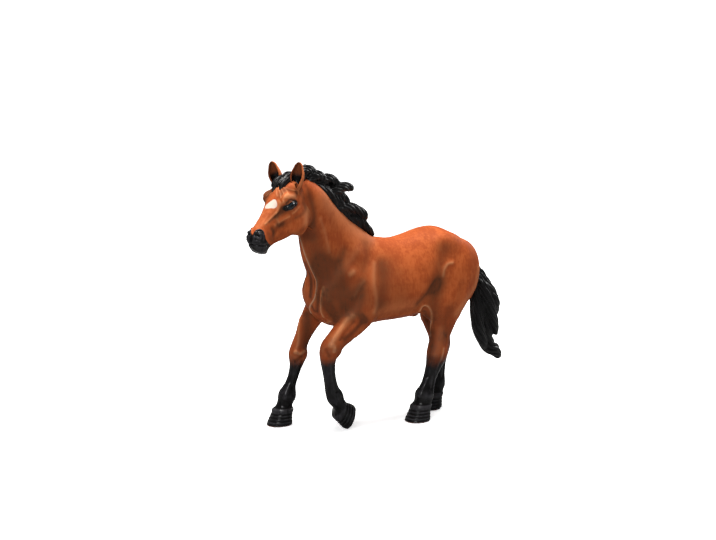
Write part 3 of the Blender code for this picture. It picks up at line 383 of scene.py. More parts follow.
# Cannons: middle line of each lower leg from below knee or hock to fetlock, and its half width
CANNON_SHARES = {
    "left_foreleg": (((0.036, -0.36, 0.385), (0.055, -0.315, 0.287), (0.071, -0.281, 0.231)), 0.085),
    "right_foreleg": (((0.005, 0.464, 0.345), (-0.011, 0.469, 0.271), (-0.029, 0.477, 0.216)), 0.085),
    "left_hind_leg": (((0.645, -0.383, 0.32), (0.616, -0.385, 0.233), (0.599, -0.385, 0.18)), 0.092),
    "right_hind_leg": (((0.792, 0.164, 0.32), (0.783, 0.145, 0.227), (0.775, 0.138, 0.176)), 0.09),
}
CANNON_REACH = (3.6 * MM, 5.0 * MM)
TENDON_SHARE = 0.105
TENDON_STROKE = (0.55, -0.28)

# Hooves: middle of the sole and the turn of the toe down from level, in turns
SOLE_SHARES = {
    "left_foreleg": ((0.19, -0.18, 0.056), 0.19),
    "right_foreleg": ((-0.09, 0.5, 0.0), 0.0),
    "left_hind_leg": ((0.545, -0.377, 0.0), 0.0),
    "right_hind_leg": ((0.72, 0.119, 0.0), 0.0),
}
HOOF_REACH_SHARE = 0.95
FAR_OFF = 1.0
HORN_RINGS = (1.30 * MM, 0.075 * MM)
HORN_FOOT = (0.6 * MM, 1.4 * MM)
HORN_TOP = (4.6 * MM, 5.6 * MM)
CORONET_SHARES = (0.95, 0.10, 0.045)
SOLE_GROOVE = (0.2 * MM, 0.3 * MM, 0.35)

# Black points: heights in millimetres where the black of each lower leg begins and is full
BLACK_POINTS = {
    "left_foreleg": (38.0, 23.0),
    "right_foreleg": (34.0, 17.5),
    "left_hind_leg": (37.0, 14.0),
    "right_hind_leg": (34.0, 17.0),
}

# Shade down the trunk: heights where it is full and ends, and strength. Shade above the black points:
# how far below and above their beginning it is full and ends, and strength. All heights in millimetres.
TRUNK_SHADE = (36.0, 60.0, 0.05)
LEG_SHADE = (3.0, 13.0, 0.36)
SOLE_EDGE = (0.30 * MM, 0.60 * MM, 0.70)

# Painted shade in the hollows and painted highlight on the crests, which follow the relief: strength, and the
# share of the relief's depth where it begins. Then how much the relief of the carved pieces and of the horn's
# rings is raised for them, and the pale of the strongest light tints.
HOLLOW_SHADE = (0.35, 0.15)
CREST_LIGHT = (0.6, 0.5)
CARVED_LIGHT_AND_SHADE = 1.5
HORN_LIGHT_AND_SHADE = 1.5
PALE_SHARE = 0.15
PALE_GAIN = 4

# The face: star and black lids as a line and its half width in millimetres, and the black muzzle's edge. The
# black round the eye is partly painted shade of the socket.
STAR_SHARES = (((0.395, 0.13), (0.478, -0.02), (0.445, 0.15), (0.395, 0.13)), 0.85)
STAR_SOFTNESS = 0.5
LID_SHARES = (((0.372, -0.064), (0.31, -0.094), (0.246, -0.118)), 0.95)
LID_SOFTNESS = (0.4, 1.0)
LID_BLACK = 0.9
MUZZLE_SIDE_SHARES = (
    (-0.6, 0.79), (-0.272, 0.803), (-0.175, 0.841), (-0.103, 0.838), (-0.062, 0.812), (-0.022, 0.786),
    (0.1, 0.786))
MUZZLE_FRONT_SHARES = (
    (0.0, 0.885), (0.042, 0.875), (0.069, 0.842), (0.103, 0.82), (0.144, 0.79), (0.203, 0.786))
MUZZLE_TURN_SHARES = (0.17, 0.24)
MUZZLE_UNDER_SHARES = (0.04, 0.10)
MUZZLE_SOFTNESS = 0.018

# The eyes: middle and direction on the face, half sizes along, across and out, depth and the almond's taper
EYE_SHARES = ((0.312, -0.096), (0.172, 0.09))
EYE_SIZE = (2.45 * MM, 1.75 * MM, 1.50 * MM)
EYE_DEPTH = 0.48 * MM
EYE_ALMOND = (0.45, 2.2)
EYE_AIM_SHARE = 2

# Locks of hair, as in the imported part: mane (along, height), tail (along, aside, height), forelock on the
# head (down, front, aside). Those of tail and forelock have their half width too.
MANE_LOCK_SHARES = {
    "nape": ((-0.12, 1.34), (-0.092, 1.405), (-0.04, 1.405), (0.0, 1.352)),
    "loop": ((-0.07, 1.34), (-0.035, 1.374), (0.0, 1.38), (0.022, 1.356), (0.012, 1.33)),
    "arch": ((-0.01, 1.305), (0.02, 1.343), (0.068, 1.36), (0.118, 1.33), (0.142, 1.286)),
    "wave": ((0.055, 1.268), (0.106, 1.288), (0.155, 1.31), (0.198, 1.308), (0.203, 1.286)),
    "drop": ((0.055, 1.288), (0.119, 1.267), (0.168, 1.238), (0.194, 1.207)),
    "curl": ((0.12, 1.184), (0.176, 1.188), (0.232, 1.176), (0.282, 1.147), (0.288, 1.125), (0.268, 1.12)),
    "withers": ((0.172, 1.126), (0.234, 1.121), (0.278, 1.09), (0.317, 1.05), (0.35, 1.014)),
    "middle": ((-0.08, 1.322), (0.01, 1.298), (0.09, 1.25), (0.157, 1.188), (0.202, 1.146)),
    "low": ((-0.09, 1.318), (0.0, 1.272), (0.078, 1.22), (0.15, 1.161), (0.214, 1.105), (0.28, 1.054)),
}
MANE_ROOT_SHARES = ((-0.06, 1.345), (0.0, 1.33), (0.06, 1.29), (0.11, 1.245), (0.16, 1.195), (0.21, 1.14))
TAIL_LOCK_SHARES = {
    "core": (((0.935, 0.0, 0.775), (0.97, 0.0, 0.725), (1.003, 0.0, 0.62), (1.015, 0.0, 0.5),
              (1.035, 0.0, 0.39), (1.08, 0.0, 0.31)), 0.345),
    "outer": (((0.955, -0.02, 0.755), (1.018, -0.05, 0.672), (1.062, -0.06, 0.6), (1.08, -0.05, 0.545),
               (1.095, -0.03, 0.5)), 0.22),
    "middle": (((0.965, -0.06, 0.725), (1.0, -0.11, 0.64), (1.04, -0.11, 0.53), (1.075, -0.08, 0.44),
                (1.095, -0.04, 0.385)), 0.19),
    "inner": (((0.95, -0.04, 0.71), (0.955, -0.09, 0.575), (0.965, -0.1, 0.46), (1.008, -0.06, 0.36),
               (1.035, -0.02, 0.31)), 0.21),
    "tip": (((1.0, 0.02, 0.58), (1.002, 0.03, 0.45), (1.05, 0.02, 0.335), (1.095, 0.01, 0.29),
             (1.128, 0.0, 0.247)), 0.26),
    "far": (((0.97, 0.08, 0.71), (1.02, 0.11, 0.6), (1.05, 0.11, 0.48), (1.065, 0.08, 0.38),
             (1.08, 0.04, 0.3)), 0.2),
}
FORELOCK_SHARES = {
    "crown": (((-0.09, -0.04, 0.0), (-0.04, 0.03, -0.02), (0.03, 0.07, -0.04), (0.12, 0.09, -0.06)), 0.055),
    "far": (((0.0, 0.03, -0.1), (0.07, 0.07, -0.15), (0.14, 0.085, -0.19), (0.2, 0.08, -0.22)), 0.048),
    "middle": (((0.0, 0.05, 0.02), (0.09, 0.08, -0.01), (0.18, 0.095, -0.06), (0.28, 0.09, -0.08)), 0.038),
    "near": (((-0.01, 0.03, 0.12), (0.07, 0.07, 0.13), (0.15, 0.085, 0.11), (0.23, 0.08, 0.1)), 0.038),
}

# How locks stand off the crest on each side, and how thick they are from root to tip
LOCK_SIDE_SHARES = ((-1, 0.86), (1, 0.83))
LOCK_SPREAD_SHARES = (0.16, 0.24)
LOCK_PROFILE_SHARES = (0.80, 1.00, 0.98, 0.80, 0.34)
MANE_LOCK = 2.0 * MM
MANE_LOCK_SHARE = 0.30

# Strands: their place in a lock and the radius of one of eight, as shares of the lock's half width. Then the
# turn from one lock's strands to the next's, and their wander: its share, and its waves and shift in radians.
STRAND_SHARES = (0.80, 0.27)
STRANDS_OF_A_LOCK = 8
THINNEST_STRAND = 0.22 * MM
STRAND_SHIFT = 0.37
STRAND_WANDER = (0.12, 9, 2.4)
STRAND_STEPS = 8
ROOT_STEPS = 6
HAIR_CORE = 0.62 * MM
TUBE_TILT = (0.03, 1, 0.02)

# The ears: sizes, width and wrap up their height, then foot on the head, tip and heading of the opening
EAR_WIDTH = 5.6 * MM
EAR_WALL = 0.60 * MM
EAR_WALL_SHARE = 0.6
EAR_BOW = 1.2 * MM
EAR_REST = 0.03 * MM
EAR_DEPTH_SHARE = 0.80
EAR_START_SHARE = -0.22
EAR_ROWS = 56
EAR_SIDES = 32
EAR_RIM = 3
EAR_WIDTH_SHARES = (
    (-0.22, 0.6), (0.0, 0.66), (0.15, 0.8), (0.3, 0.94), (0.45, 1.0), (0.6, 0.94), (0.75, 0.76), (0.88, 0.6),
    (0.95, 0.42), (1.0, 0.2))
EAR_WRAP_SHARES = ((-0.22, 160), (0.0, 150), (0.15, 135), (0.4, 112), (0.7, 95), (1.0, 80))
EAR_SHARES = {
    "left_ear": ((0.08, -0.05, 0.31), (-0.145, -0.538, 1.45), (-0.8, -0.6)),
    "right_ear": ((0.08, -0.03, -0.31), (-0.233, -0.192, 1.447), (-0.86, -0.5)),
}

# Paint of the ears: where it begins and is full, as shares of the height or the way round, and its strength.
# The dark is the ear's own dark paint together with painted shade, the light behind a painted highlight.
EAR_CUP = (0.0, 0.25, 0.85)
EAR_FORE_EDGE = (0.35, 0.85, 0.7)
EAR_FOOT = (0.05, 0.25, 0.4)
EAR_CUP_BLACK = (0.30, 0.75, 0.90)
EAR_EDGE_BLACK = 0.32
EAR_REAR_LIGHT = (0.5, 0.9, 0.50)

# Finishes: where an effect begins and is full on the mottle, the relief or a mask, then its least and most
BAY_PATCHES = (0.40, 0.60)
# The pale of the strongest light tints: painted highlight, together with the toy's own pale lines
PALE_LINES_AND_HIGHLIGHTS = (0.0, PALE_SHARE, 0.0, 0.85)
SHADE_BRUSHING = (0.30, 0.70, 0.68, 0.92)
BLACK_EDGE = (0.12, 0.78)
# Painted highlight on the raised black: ridges of the relief and patches of the mottle
HIGHLIT_RIDGES = (0.15, 1.1)
HIGHLIT_PATCHES = (0.36, 0.62, 0.1, 0.7)
STAR_EDGE = (0.40, 0.60)
COAT_ROUGHNESS = (0.0, 1.0, 0.58, 0.24)
COAT_GLOSS = (0.0, 1.0, 0.0, 0.20)
HAIR_RIDGES = (0.25, 1.6)
HAIR_PATCHES = (0.35, 0.70)
HAIR_GREY = 0.36
HAIR_ROUGHNESS = (0.3, 0.7, 0.28, 0.40)
PUPIL_EDGE = (0.30, 0.42)
IRIS_EDGE = (0.85, 0.62)
IRIS_STREAKS = (0.30, 0.70, 0.5, 1.0)
EYE_ROUGHNESS = (0.2, 0.8, 0.08, 0.14)
GRAIN_HEIGHT = 0.06 * MM
TABLE_GLOW = (0.25, 1.2, 0.60, 1.0)
TABLE_GRAIN = 0.03
TABLE_GREY = (0.8, 0.8, 0.8)

# The stage: the figure's middle, the photograph's side of it in degrees, the camera's lens and the lights
MIDDLE = Vector((-2.46, 8.41, 60.7)) * MM
VIEW_AZIMUTH = -30
VIEW_ELEVATION = 11
SENSOR_WIDTH = 36
CLIP_NEAR = 0.01
CLIP_FAR = 20
TABLE_SIZE = 60
ROOM_LIGHT = 0.20
LAMPS = {
    "top_light": (Vector((-0.02, 0.02, 0.75)), 0.36, 9.2, (1, 0.99, 0.97)),
    "rear_light": (Vector((0.62, 0.10, 0.35)), 0.30, 2.2, (1, 1, 1)),
    "front_light": (Vector((-0.45, -0.55, 0.40)), 0.30, 3.0, (1, 1, 1)),
}


# Places


def spot(along, aside, height):
    """A point of the figure from its shares."""
    return BREAST + Vector((along * BODY_LENGTH, aside * BARREL_WIDTH, height * WITHERS_HEIGHT))


POLL = spot(*POLL_SHARES)
HEAD_DOWN = (spot(*LIP_SHARES) - POLL).normalized()
HEAD_LEFT = Vector((-HEAD_DOWN.y, HEAD_DOWN.x, 0)).normalized()
HEAD_FRONT = HEAD_DOWN.cross(HEAD_LEFT).normalized()


def head_spot(down, front, aside):
    """A point of the head from its shares."""
    along_face = HEAD_DOWN * down + HEAD_FRONT * front
    return POLL + along_face * HEAD_LENGTH + HEAD_LEFT * (aside * HEAD_WIDTH)


def flank_line(shares):
    return [(along * BODY_LENGTH, height * WITHERS_HEIGHT) for along, height in shares]


def face_line(shares):
    return [(down * HEAD_LENGTH, front * HEAD_LENGTH) for down, front in shares]


def nose_line(shares, side):
    return [(down * HEAD_LENGTH, side * aside * HEAD_WIDTH) for down, aside in shares]


def shares_of(points):
    """Points of the figure as shares of its sizes."""
    return (points - np.array(BREAST)) / np.array((BODY_LENGTH, BARREL_WIDTH, WITHERS_HEIGHT))


def flank_map(points):
    """Places on the side view: along and height, in metres from the breast."""
    return (points - np.array(BREAST))[:, (0, 2)]


def head_map(points):
    """Down, front and aside of the poll, in metres."""
    return (points - np.array(POLL)) @ np.array((HEAD_DOWN, HEAD_FRONT, HEAD_LEFT)).T


def crest_aside(along):
    """How far aside of the breast the middle surface of the neck lies, in metres."""
    rows = sorted(CREST_SHARES)
    first, second = rows[0], rows[1]
    slope = (second[1] - first[1]) / (second[0] - first[0])
    inner = np.interp(along, [row[0] for row in rows], [row[1] for row in rows])
    beyond = first[1] + (along - first[0]) * slope
    return np.where(along < first[0], beyond, inner) * BARREL_WIDTH


def crest_share(along):
    return float(crest_aside(np.array(along))) / BARREL_WIDTH


# Curves and soft edges


def smooth_rows(rows, steps):
    """The rows with others between them, on a Catmull-Rom curve through every column."""
    rows = np.array(rows, dtype=float)
    padded = np.vstack((rows[:1], rows, rows[-1:]))
    t = np.linspace(0, 1, steps, endpoint=False)[:, None]
    made = []
    for a, b, c, d in zip(padded, padded[1:], padded[2:], padded[3:]):
        made.append(0.5 * (2 * b + (c - a) * t + (2 * a - 5 * b + 4 * c - d) * t**2
                           + (3 * b - a - 3 * c + d) * t**3))
    return np.vstack((*made, rows[-1:]))


def distance_to(points, line, steps=6):
    """How far each point lies from a curve through the places of a line."""
    places = smooth_rows(line, steps)
    best = np.full(len(points), np.inf)
    for start, end in zip(places, places[1:]):
        run = end - start
        share = np.clip((points - start) @ run / max(run @ run, SMALLEST_RUN), 0, 1)
        best = np.minimum(best, np.linalg.norm(points - start - share[:, None] * run, axis=1))
    return best


def ramp(values, low, high):
    """Nought below low and one above high, with a soft rise between."""
    share = np.clip((values - low) / (high - low), 0, 1)
    return share * share * (3 - 2 * share)


def bell(distance, width):
    return np.exp(-(distance / width) ** 2)


def mark(points, line, width):
    """A bell round a line of places, worked out only near it."""
    places = np.array(line)
    reach = MARK_REACH * width
    near = np.all((points > places.min(axis=0) - reach) & (points < places.max(axis=0) + reach), axis=1)
    made = np.zeros(len(points))
    if near.any():
        made[near] = bell(distance_to(points[near], line), width)
    return made


def off_the_head(points):
    """One on the neck and trunk, nought on the head."""
    down, front, _ = head_map(points).T
    return 1 - ramp(down * HEAD_CUT_AXIS[0] + front * HEAD_CUT_AXIS[1], -HEAD_BAND, HEAD_BAND)


# Meshes as arrays and back


def points_of(mesh):
    made = np.empty(len(mesh.vertices) * 3)
    mesh.vertices.foreach_get("co", made)
    return made.reshape(-1, 3)


def normals_of(mesh):
    made = np.empty(len(mesh.vertices) * 3)
    mesh.vertex_normals.foreach_get("vector", made)
    return made.reshape(-1, 3)


def edges_of(mesh):
    made = np.empty(len(mesh.edges) * 2, dtype=int)
    mesh.edges.foreach_get("vertices", made)
    return made.reshape(-1, 2)


def values_of(mesh, name):
    made = np.zeros(len(mesh.vertices), dtype=np.float32)
    mesh.attributes[name].data.foreach_get("value", made)
    return made


def attribute(mesh, name, kind, values):
    """A named value at each point of a mesh, for its material."""
    old = mesh.attributes.get(name)
    if old:
        mesh.attributes.remove(old)
    layer = mesh.attributes.new(name, kind, "POINT")
    key = "color" if kind == "FLOAT_COLOR" else "value"
    layer.data.foreach_set(key, np.ascontiguousarray(values, dtype=np.float32).ravel())


def moved_to(mesh, points):
    mesh.vertices.foreach_set("co", points.ravel())
    mesh.update()


def lifted(mesh, height):
    """Move each point of a mesh along its normal."""
    moved_to(mesh, points_of(mesh) + normals_of(mesh) * height[:, None])


def evened(values, edges, passes):
    """Values at the points of a mesh, each averaged with its neighbours a number of times."""
    ends = np.concatenate((edges[:, 0], edges[:, 1]))
    others = np.concatenate((edges[:, 1], edges[:, 0]))
    counts = np.maximum(np.bincount(ends, minlength=len(values)), 1)
    flat = values.reshape(len(values), -1).copy()
    for _ in range(passes):
        sums = [np.bincount(ends, weights=column[others], minlength=len(values)) for column in flat.T]
        flat = 0.5 * flat + 0.5 * np.stack([total / counts for total in sums], axis=1)
    return flat.reshape(values.shape)


def smoothed(mesh, share, passes):
    """Even out the places of a mesh's points, each by its share."""
    points, edges = points_of(mesh), edges_of(mesh)
    for _ in range(passes):
        points = points + share[:, None] * (evened(points, edges, 1) - points)
    moved_to(mesh, points)


def fine_relief(mesh):
    """How far each point stands out of the skin round it, in metres."""
    points = points_of(mesh)
    return ((points - evened(points, edges_of(mesh), RELIEF_PASSES)) * normals_of(mesh)).sum(axis=1)


# Solids and pieces


def solid_of(mesh):
    made = bmesh.new()
    made.from_mesh(mesh)
    return made


def put_back(solid, mesh):
    solid.to_mesh(mesh)
    solid.free()


def tree_of(mesh):
    solid = solid_of(mesh)
    made = BVHTree.FromBMesh(solid)
    solid.free()
    return made


def laid_on(tree, line):
    """The places of a line moved to the nearest points of a surface."""
    return [tree.find_nearest(Vector(place))[0] for place in line]


def inner_of(mesh):
    """One for each point inside a mesh's open rims and nought for each point on them."""
    solid = solid_of(mesh)
    made = np.array([0.0 if vert.is_boundary else 1.0 for vert in solid.verts])
    solid.free()
    return made


def piece_from(name, solid):
    mesh = bpy.data.meshes.new(name)
    put_back(solid, mesh)
    piece = bpy.data.objects.new(name, mesh)
    bpy.context.scene.collection.objects.link(piece)
    return piece


def copied(name, nodes):
    """One new piece from merged copies of CAD nodes."""
    joined = bmesh.new()
    for node in nodes:
        joined.from_mesh(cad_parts[node].data)
    bmesh.ops.remove_doubles(joined, verts=joined.verts, dist=MERGE)
    return piece_from(name, joined)


def pick_only(piece):
    bpy.ops.object.select_all(action="DESELECT")
    piece.select_set(True)
    bpy.context.view_layer.objects.active = piece


def finish_with(piece, kind, **settings):
    """Add a modifier with its settings and apply it."""
    pick_only(piece)
    bpy.ops.object.modifier_add(type=kind)
    work = piece.modifiers[-1]
    for name, value in settings.items():
        setattr(work, name, value)
    bpy.ops.object.modifier_apply(modifier=work.name)


def swollen(piece, depth):
    finish_with(piece, "DISPLACE", strength=depth, mid_level=0)


def softened(piece, passes):
    finish_with(piece, "SMOOTH", factor=0.5, iterations=passes)


def shaded(piece):
    pick_only(piece)
    bpy.ops.object.shade_smooth()


def islands(solid):
    """The faces of each separate body, largest first."""
    left = set(solid.faces)
    groups = []
    while left:
        start = left.pop()
        group = [start]
        stack = [start]
        while stack:
            for edge in stack.pop().edges:
                for face in edge.link_faces:
                    if face in left:
                        left.remove(face)
                        group.append(face)
                        stack.append(face)
        groups.append(group)
    return sorted(groups, key=len, reverse=True)


def without_strays(solid):
    """Delete the faces of all bodies but the largest."""
    strays = [face for group in islands(solid)[1:] for face in group]
    bmesh.ops.delete(solid, geom=strays, context="FACES")


def melted(piece, grain):
    """Melt what overlaps in a piece into one closed skin."""
    finish_with(piece, "REMESH", mode="VOXEL", voxel_size=grain)
    solid = solid_of(piece.data)
    without_strays(solid)
    loose = [vert for vert in solid.verts if not vert.link_faces]
    bmesh.ops.delete(solid, geom=loose, context="VERTS")
    put_back(solid, piece.data)


def bridged(solid, rings):
    """Faces from each ring of vertices to the next."""
    for near, far in zip(rings, rings[1:]):
        for i in range(len(near)):
            j = (i + 1) % len(near)
            solid.faces.new((near[i], near[j], far[j], far[i]))


# Forms on the trunk, the legs and the face


def form_along(places, line, form):
    """Height of a stroke's form at each place, in metres."""
    width, rise = form
    if not rise:
        return 0.0
    return rise * MM * mark(places, line, width * MM)


def laid_strokes(tree):
    """The single strokes laid on the skin, as lines of places."""
    for stroke in SINGLE_MARKS.values():
        yield laid_on(tree, [spot(*place) for place in stroke.line]), stroke


def laid_head_strokes(tree):
    """The strokes laid on the head's surface, left and right."""
    for stroke in HEAD_MARKS.values():
        for hand in (-1, 1):
            places = [head_spot(down, front, hand * aside) for down, front, aside in stroke.line]
            yield laid_on(tree, places), stroke


def tendon_relief(name, points, normals):
    """The groove between a cannon and its tendon, in metres."""
    line, half = CANNON_SHARES[name]
    places = [spot(*place) for place in line]
    behind = half * TENDON_SHARE * BODY_LENGTH
    width, rise = TENDON_STROKE
    tendon = [(place.x + behind, place.z) for place in places]
    groove = bell(distance_to(points[:, (0, 2)], tendon), width * MM)
    near = 1 - ramp(distance_to(points, places), *CANNON_REACH)
    return rise * MM * groove * near * ramp(np.abs(normals[:, 1]), *TENDON_FACING)


def trunk_relief(mesh):
    """Height to add to the coat over the trunk, the neck and the legs, in metres."""
    points, normals = points_of(mesh), normals_of(mesh)
    sides = ramp(np.abs(normals[:, 1]), *FLANK_FORM_FACING) * off_the_head(points)
    flat = flank_map(points)
    height = np.zeros(len(points))
    for stroke in FLANK_MARKS.values():
        height += form_along(flat, flank_line(stroke.line), stroke.form) * sides
    for line, stroke in laid_strokes(tree_of(mesh)):
        height += form_along(points, line, stroke.form)
    for name in LEGS:
        height += tendon_relief(name, points, normals)
    return height


def hoof_frame(name):
    """Middle of a hoof's sole and the direction up from it."""
    place, pitch = SOLE_SHARES[name]
    turn = math.tau * pitch
    return np.array(spot(*place)), np.array((-math.sin(turn), 0, math.cos(turn)))


def hoof_heights(name, points):
    """Height of each point over its hoof's sole, with the points that aren't on it far off."""
    sole, rise = hoof_frame(name)
    away = points - sole
    height = away @ rise
    side = np.linalg.norm(away - np.outer(height, rise), axis=1)
    return np.where(side < HOOF_REACH_SHARE * HOOF_WIDTH, height, FAR_OFF)


def hoof_relief(name, points):
    """Rings of the horn, the coronet's edge and the groove over the sole."""
    height = hoof_heights(name, points)
    pitch, rise = HORN_RINGS
    wall = ramp(height, *HORN_FOOT) * (1 - ramp(height, *HORN_TOP))
    rings = rise * np.sin(math.tau * height / pitch) * wall
    place, width, lift = CORONET_SHARES
    coronet = lift * HOOF_HEIGHT * bell(height - place * HOOF_HEIGHT, width * HOOF_HEIGHT)
    place, width, share = SOLE_GROOVE
    return rings + coronet - share * lift * HOOF_HEIGHT * bell(height - place, width)


def head_relief(mesh):
    """Height to add to the face, in metres. A stroke of the nose is made from both sides, half by each."""
    points, normals = points_of(mesh), normals_of(mesh)
    places = head_map(points)
    side = ramp(np.abs(normals @ np.array(HEAD_LEFT)), *FACE_FORM_FACING)
    front = ramp(normals @ np.array(HEAD_FRONT), *NOSE_FORM_FACING)
    height = np.zeros(len(points))
    for stroke in FACE_MARKS.values():
        height += form_along(places[:, :2], face_line(stroke.line), stroke.form) * side
    for stroke in NOSE_MARKS.values():
        for hand in (-1, 1):
            height += 0.5 * form_along(places[:, (0, 2)], nose_line(stroke.line, hand), stroke.form) * front
    for line, stroke in laid_head_strokes(tree_of(mesh)):
        height += form_along(points, line, stroke.form)
    return height * (1 - off_the_head(points))


# Castings


def clay_skin(grain, passes):
    """One fine skin over shells, legs and head, with their joints closed."""
    clay = copied("clay", (*BODY_SHELLS, *LEGS, "head"))
    swollen(clay, CLOSING)
    melted(clay, grain)
    swollen(clay, -CLOSING)
    softened(clay, passes)
    return clay


def nearness(mesh, nodes):
    """How far each point of the mesh lies from each CAD node, in metres."""
    points = [vert.co for vert in mesh.vertices]
    trees = [tree_of(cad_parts[node].data) for node in nodes]
    return np.array([[tree.find_nearest(point)[3] for point in points] for tree in trees])


def fields_of(mesh):
    """A field for each cut-off casting, below nought on it, and one that is below nought left of the seam."""
    near = nearness(mesh, (*CUT_OFF, *BODY_SHELLS))
    edges = edges_of(mesh)
    made = {}
    for number, node in enumerate(CUT_OFF):
        others = np.delete(near, number, axis=0).min(axis=0)
        made[node] = evened(near[number] - others, edges, SEAM_PASSES)
    points = points_of(mesh)
    made["parting"] = points[:, 1] - BREAST.y - crest_aside(shares_of(points)[:, 0])
    return made


def mended(mesh, fields):
    """Smooth away the joints' gaps in a narrow band along each joint, and the facets of the trunk."""
    off = np.min([np.abs(values) for values in fields.values()], axis=0)
    smoothed(mesh, 1 - ramp(off, *MEND_BAND), MEND_PASSES)
    points = points_of(mesh)
    smoothed(mesh, off_the_head(points) * ramp(shares_of(points)[:, 2], *ROUND_SHARES), ROUND_PASSES)


def contour(solid, field):
    """Cut new edges across the faces where a field of the points passes nought."""
    for edge in list(solid.edges):
        first = edge.verts[0]
        near, far = first[field], edge.verts[1][field]
        if near * far < 0:
            share = min(max(near / (near - far), SEAM_MARGIN), 1 - SEAM_MARGIN)
            _, fresh = bmesh.utils.edge_split(edge, first, share)
            fresh[field] = 0
    for face in list(solid.faces):
        passing = [vert for vert in face.verts if vert[field] == 0]
        if len(passing) == 2 and not solid.edges.get(passing):
            bmesh.utils.face_split(face, *passing)
        elif len(passing) > 2:
            bmesh.ops.connect_verts(solid, verts=passing)


def seamed(mesh, fields):
    """The skin's solid with its relief and its fields at each vertex, and new edges along every joint."""
    fine = fine_relief(mesh)
    solid = solid_of(mesh)
    relief = solid.verts.layers.float.new("relief")
    layers = {name: solid.verts.layers.float.new(name) for name in fields}
    for vert in solid.verts:
        vert[relief] = fine[vert.index]
        for name, values in fields.items():
            vert[layers[name]] = values[vert.index]
    for name in fields:
        contour(solid, layers[name])
    return solid, layers


def casting_of(face, layers):
    for node in CUT_OFF:
        if sum(vert[layers[node]] for vert in face.verts) < 0:
            return node
    left = sum(vert[layers["parting"]] for vert in face.verts) < 0
    return BODY_SHELLS[0] if left else BODY_SHELLS[1]


def castings_of(mesh, fields):
    """The skin cut along the joints of the CAD nodes into one piece for each casting, open at its joints."""
    solid, layers = seamed(mesh, fields)
    numbers = {}
    for face in solid.faces:
        face.material_index = numbers.setdefault(casting_of(face, layers), len(numbers))
    pieces = {}
    for node, number in numbers.items():
        part = solid.copy()
        others = [face for face in part.faces if face.material_index != number]
        bmesh.ops.delete(part, geom=others, context="FACES")
        without_strays(part)
        for name in fields:
            part.verts.layers.float.remove(part.verts.layers.float[name])
        for face in part.faces:
            face.material_index = 0
            face.smooth = True
        pieces[node] = piece_from(node + "_casting", part)
    solid.free()
    return pieces


def carved(piece, node):
    """Give the head or a leg a finer mesh and its fine forms."""
    finish_with(piece, "SUBSURF", levels=1, subdivision_type="SIMPLE")
    mesh = piece.data
    lifted(mesh, head_relief(mesh) if node == "head" else hoof_relief(node, points_of(mesh)))
    smoothed(mesh, inner_of(mesh), 1)


def closed(piece):
    """Draw the open rims of a casting in by a hairline and close them with flat faces."""
    solid = solid_of(piece.data)
    rims = [edge for edge in solid.edges if edge.is_boundary]
    for vert in {vert for edge in rims for vert in edge.verts}:
        inner = [edge.other_vert(vert).co for edge in vert.link_edges if not edge.is_boundary]
        if inner:
            pull = sum(inner, Vector()) / len(inner) - vert.co
            if pull.length > HAIRLINE:
                vert.co += pull.normalized() * HAIRLINE
    for edge in rims:
        edge.smooth = False
    made = bmesh.ops.holes_fill(solid, edges=rims, sides=0)
    bmesh.ops.triangulate(solid, faces=made["faces"], ngon_method="BEAUTY")
    bmesh.ops.recalc_face_normals(solid, faces=solid.faces)
    put_back(solid, piece.data)


# Paint of the castings


class Paint:
    """Shade, light and white of the paint at each point of a casting, from nought to one: the shade is
    painted shade with airbrushed brown, the light painted highlight.
    """

    def __init__(self, shade):
        self.shade = shade
        self.light = np.zeros(len(shade))
        self.white = np.zeros(len(shade))

    def brush(self, places, line, paint, share=1.0):
        """Lay a stroke's paint along a line, each point with its share of it."""
        width, tint = paint
        if not tint:
            return
        change = tint * share * mark(places, line, width * MM)
        self.shade = np.maximum(self.shade, self.shade - np.minimum(change, 0))
        self.light = np.maximum(self.light, self.light + np.clip(change, 0, 1))
        self.white = np.maximum(self.white, PALE_SHARE * np.clip(PALE_GAIN * (change - 1), 0, 1))


def muzzle_edge(places):
    """How far down the face the black of the muzzle begins, as a share of the head's length."""
    by_side = np.interp(places[:, 1] / HEAD_LENGTH, *zip(*MUZZLE_SIDE_SHARES))
    aside = np.abs(places[:, 2]) / HEAD_WIDTH
    by_front = np.interp(aside, *zip(*MUZZLE_FRONT_SHARES))
    turn = ramp(aside, *MUZZLE_TURN_SHARES)
    turn = np.maximum(turn, ramp(-places[:, 1] / HEAD_LENGTH, *MUZZLE_UNDER_SHARES))
    return by_front + turn * (by_side - by_front)


def face_paint(points, normals, tree, coat):
    """Brush the face's strokes and its star, and give its black."""
    places = head_map(points)
    side = ramp(np.abs(normals @ np.array(HEAD_LEFT)), *FACE_PAINT_FACING)
    front = ramp(normals @ np.array(HEAD_FRONT), *NOSE_PAINT_FACING)
    for stroke in FACE_MARKS.values():
        coat.brush(places[:, :2], face_line(stroke.line), stroke.paint, side)
    for stroke in NOSE_MARKS.values():
        for hand in (-1, 1):
            coat.brush(places[:, (0, 2)], nose_line(stroke.line, hand), stroke.paint, 0.5 * front)
    for line, stroke in laid_head_strokes(tree):
        coat.brush(points, line, stroke.paint)
    line, width = STAR_SHARES
    off = distance_to(places[:, (0, 2)], nose_line(line, 1))
    star = (1 - ramp(off, (width - STAR_SOFTNESS) * MM, (width + STAR_SOFTNESS) * MM)) * front
    coat.white = np.maximum(coat.white, star)
    edge = muzzle_edge(places)
    muzzle = ramp(places[:, 0] / HEAD_LENGTH, edge - MUZZLE_SOFTNESS, edge + MUZZLE_SOFTNESS)
    # Black lids round the eye, partly painted shade of the socket
    line, width = LID_SHARES
    inner, outer = LID_SOFTNESS
    off = distance_to(places[:, :2], face_line(line))
    lids = 1 - ramp(off, (width - inner) * MM, (width + outer) * MM)
    return np.maximum(muzzle, LID_BLACK * lids * side)


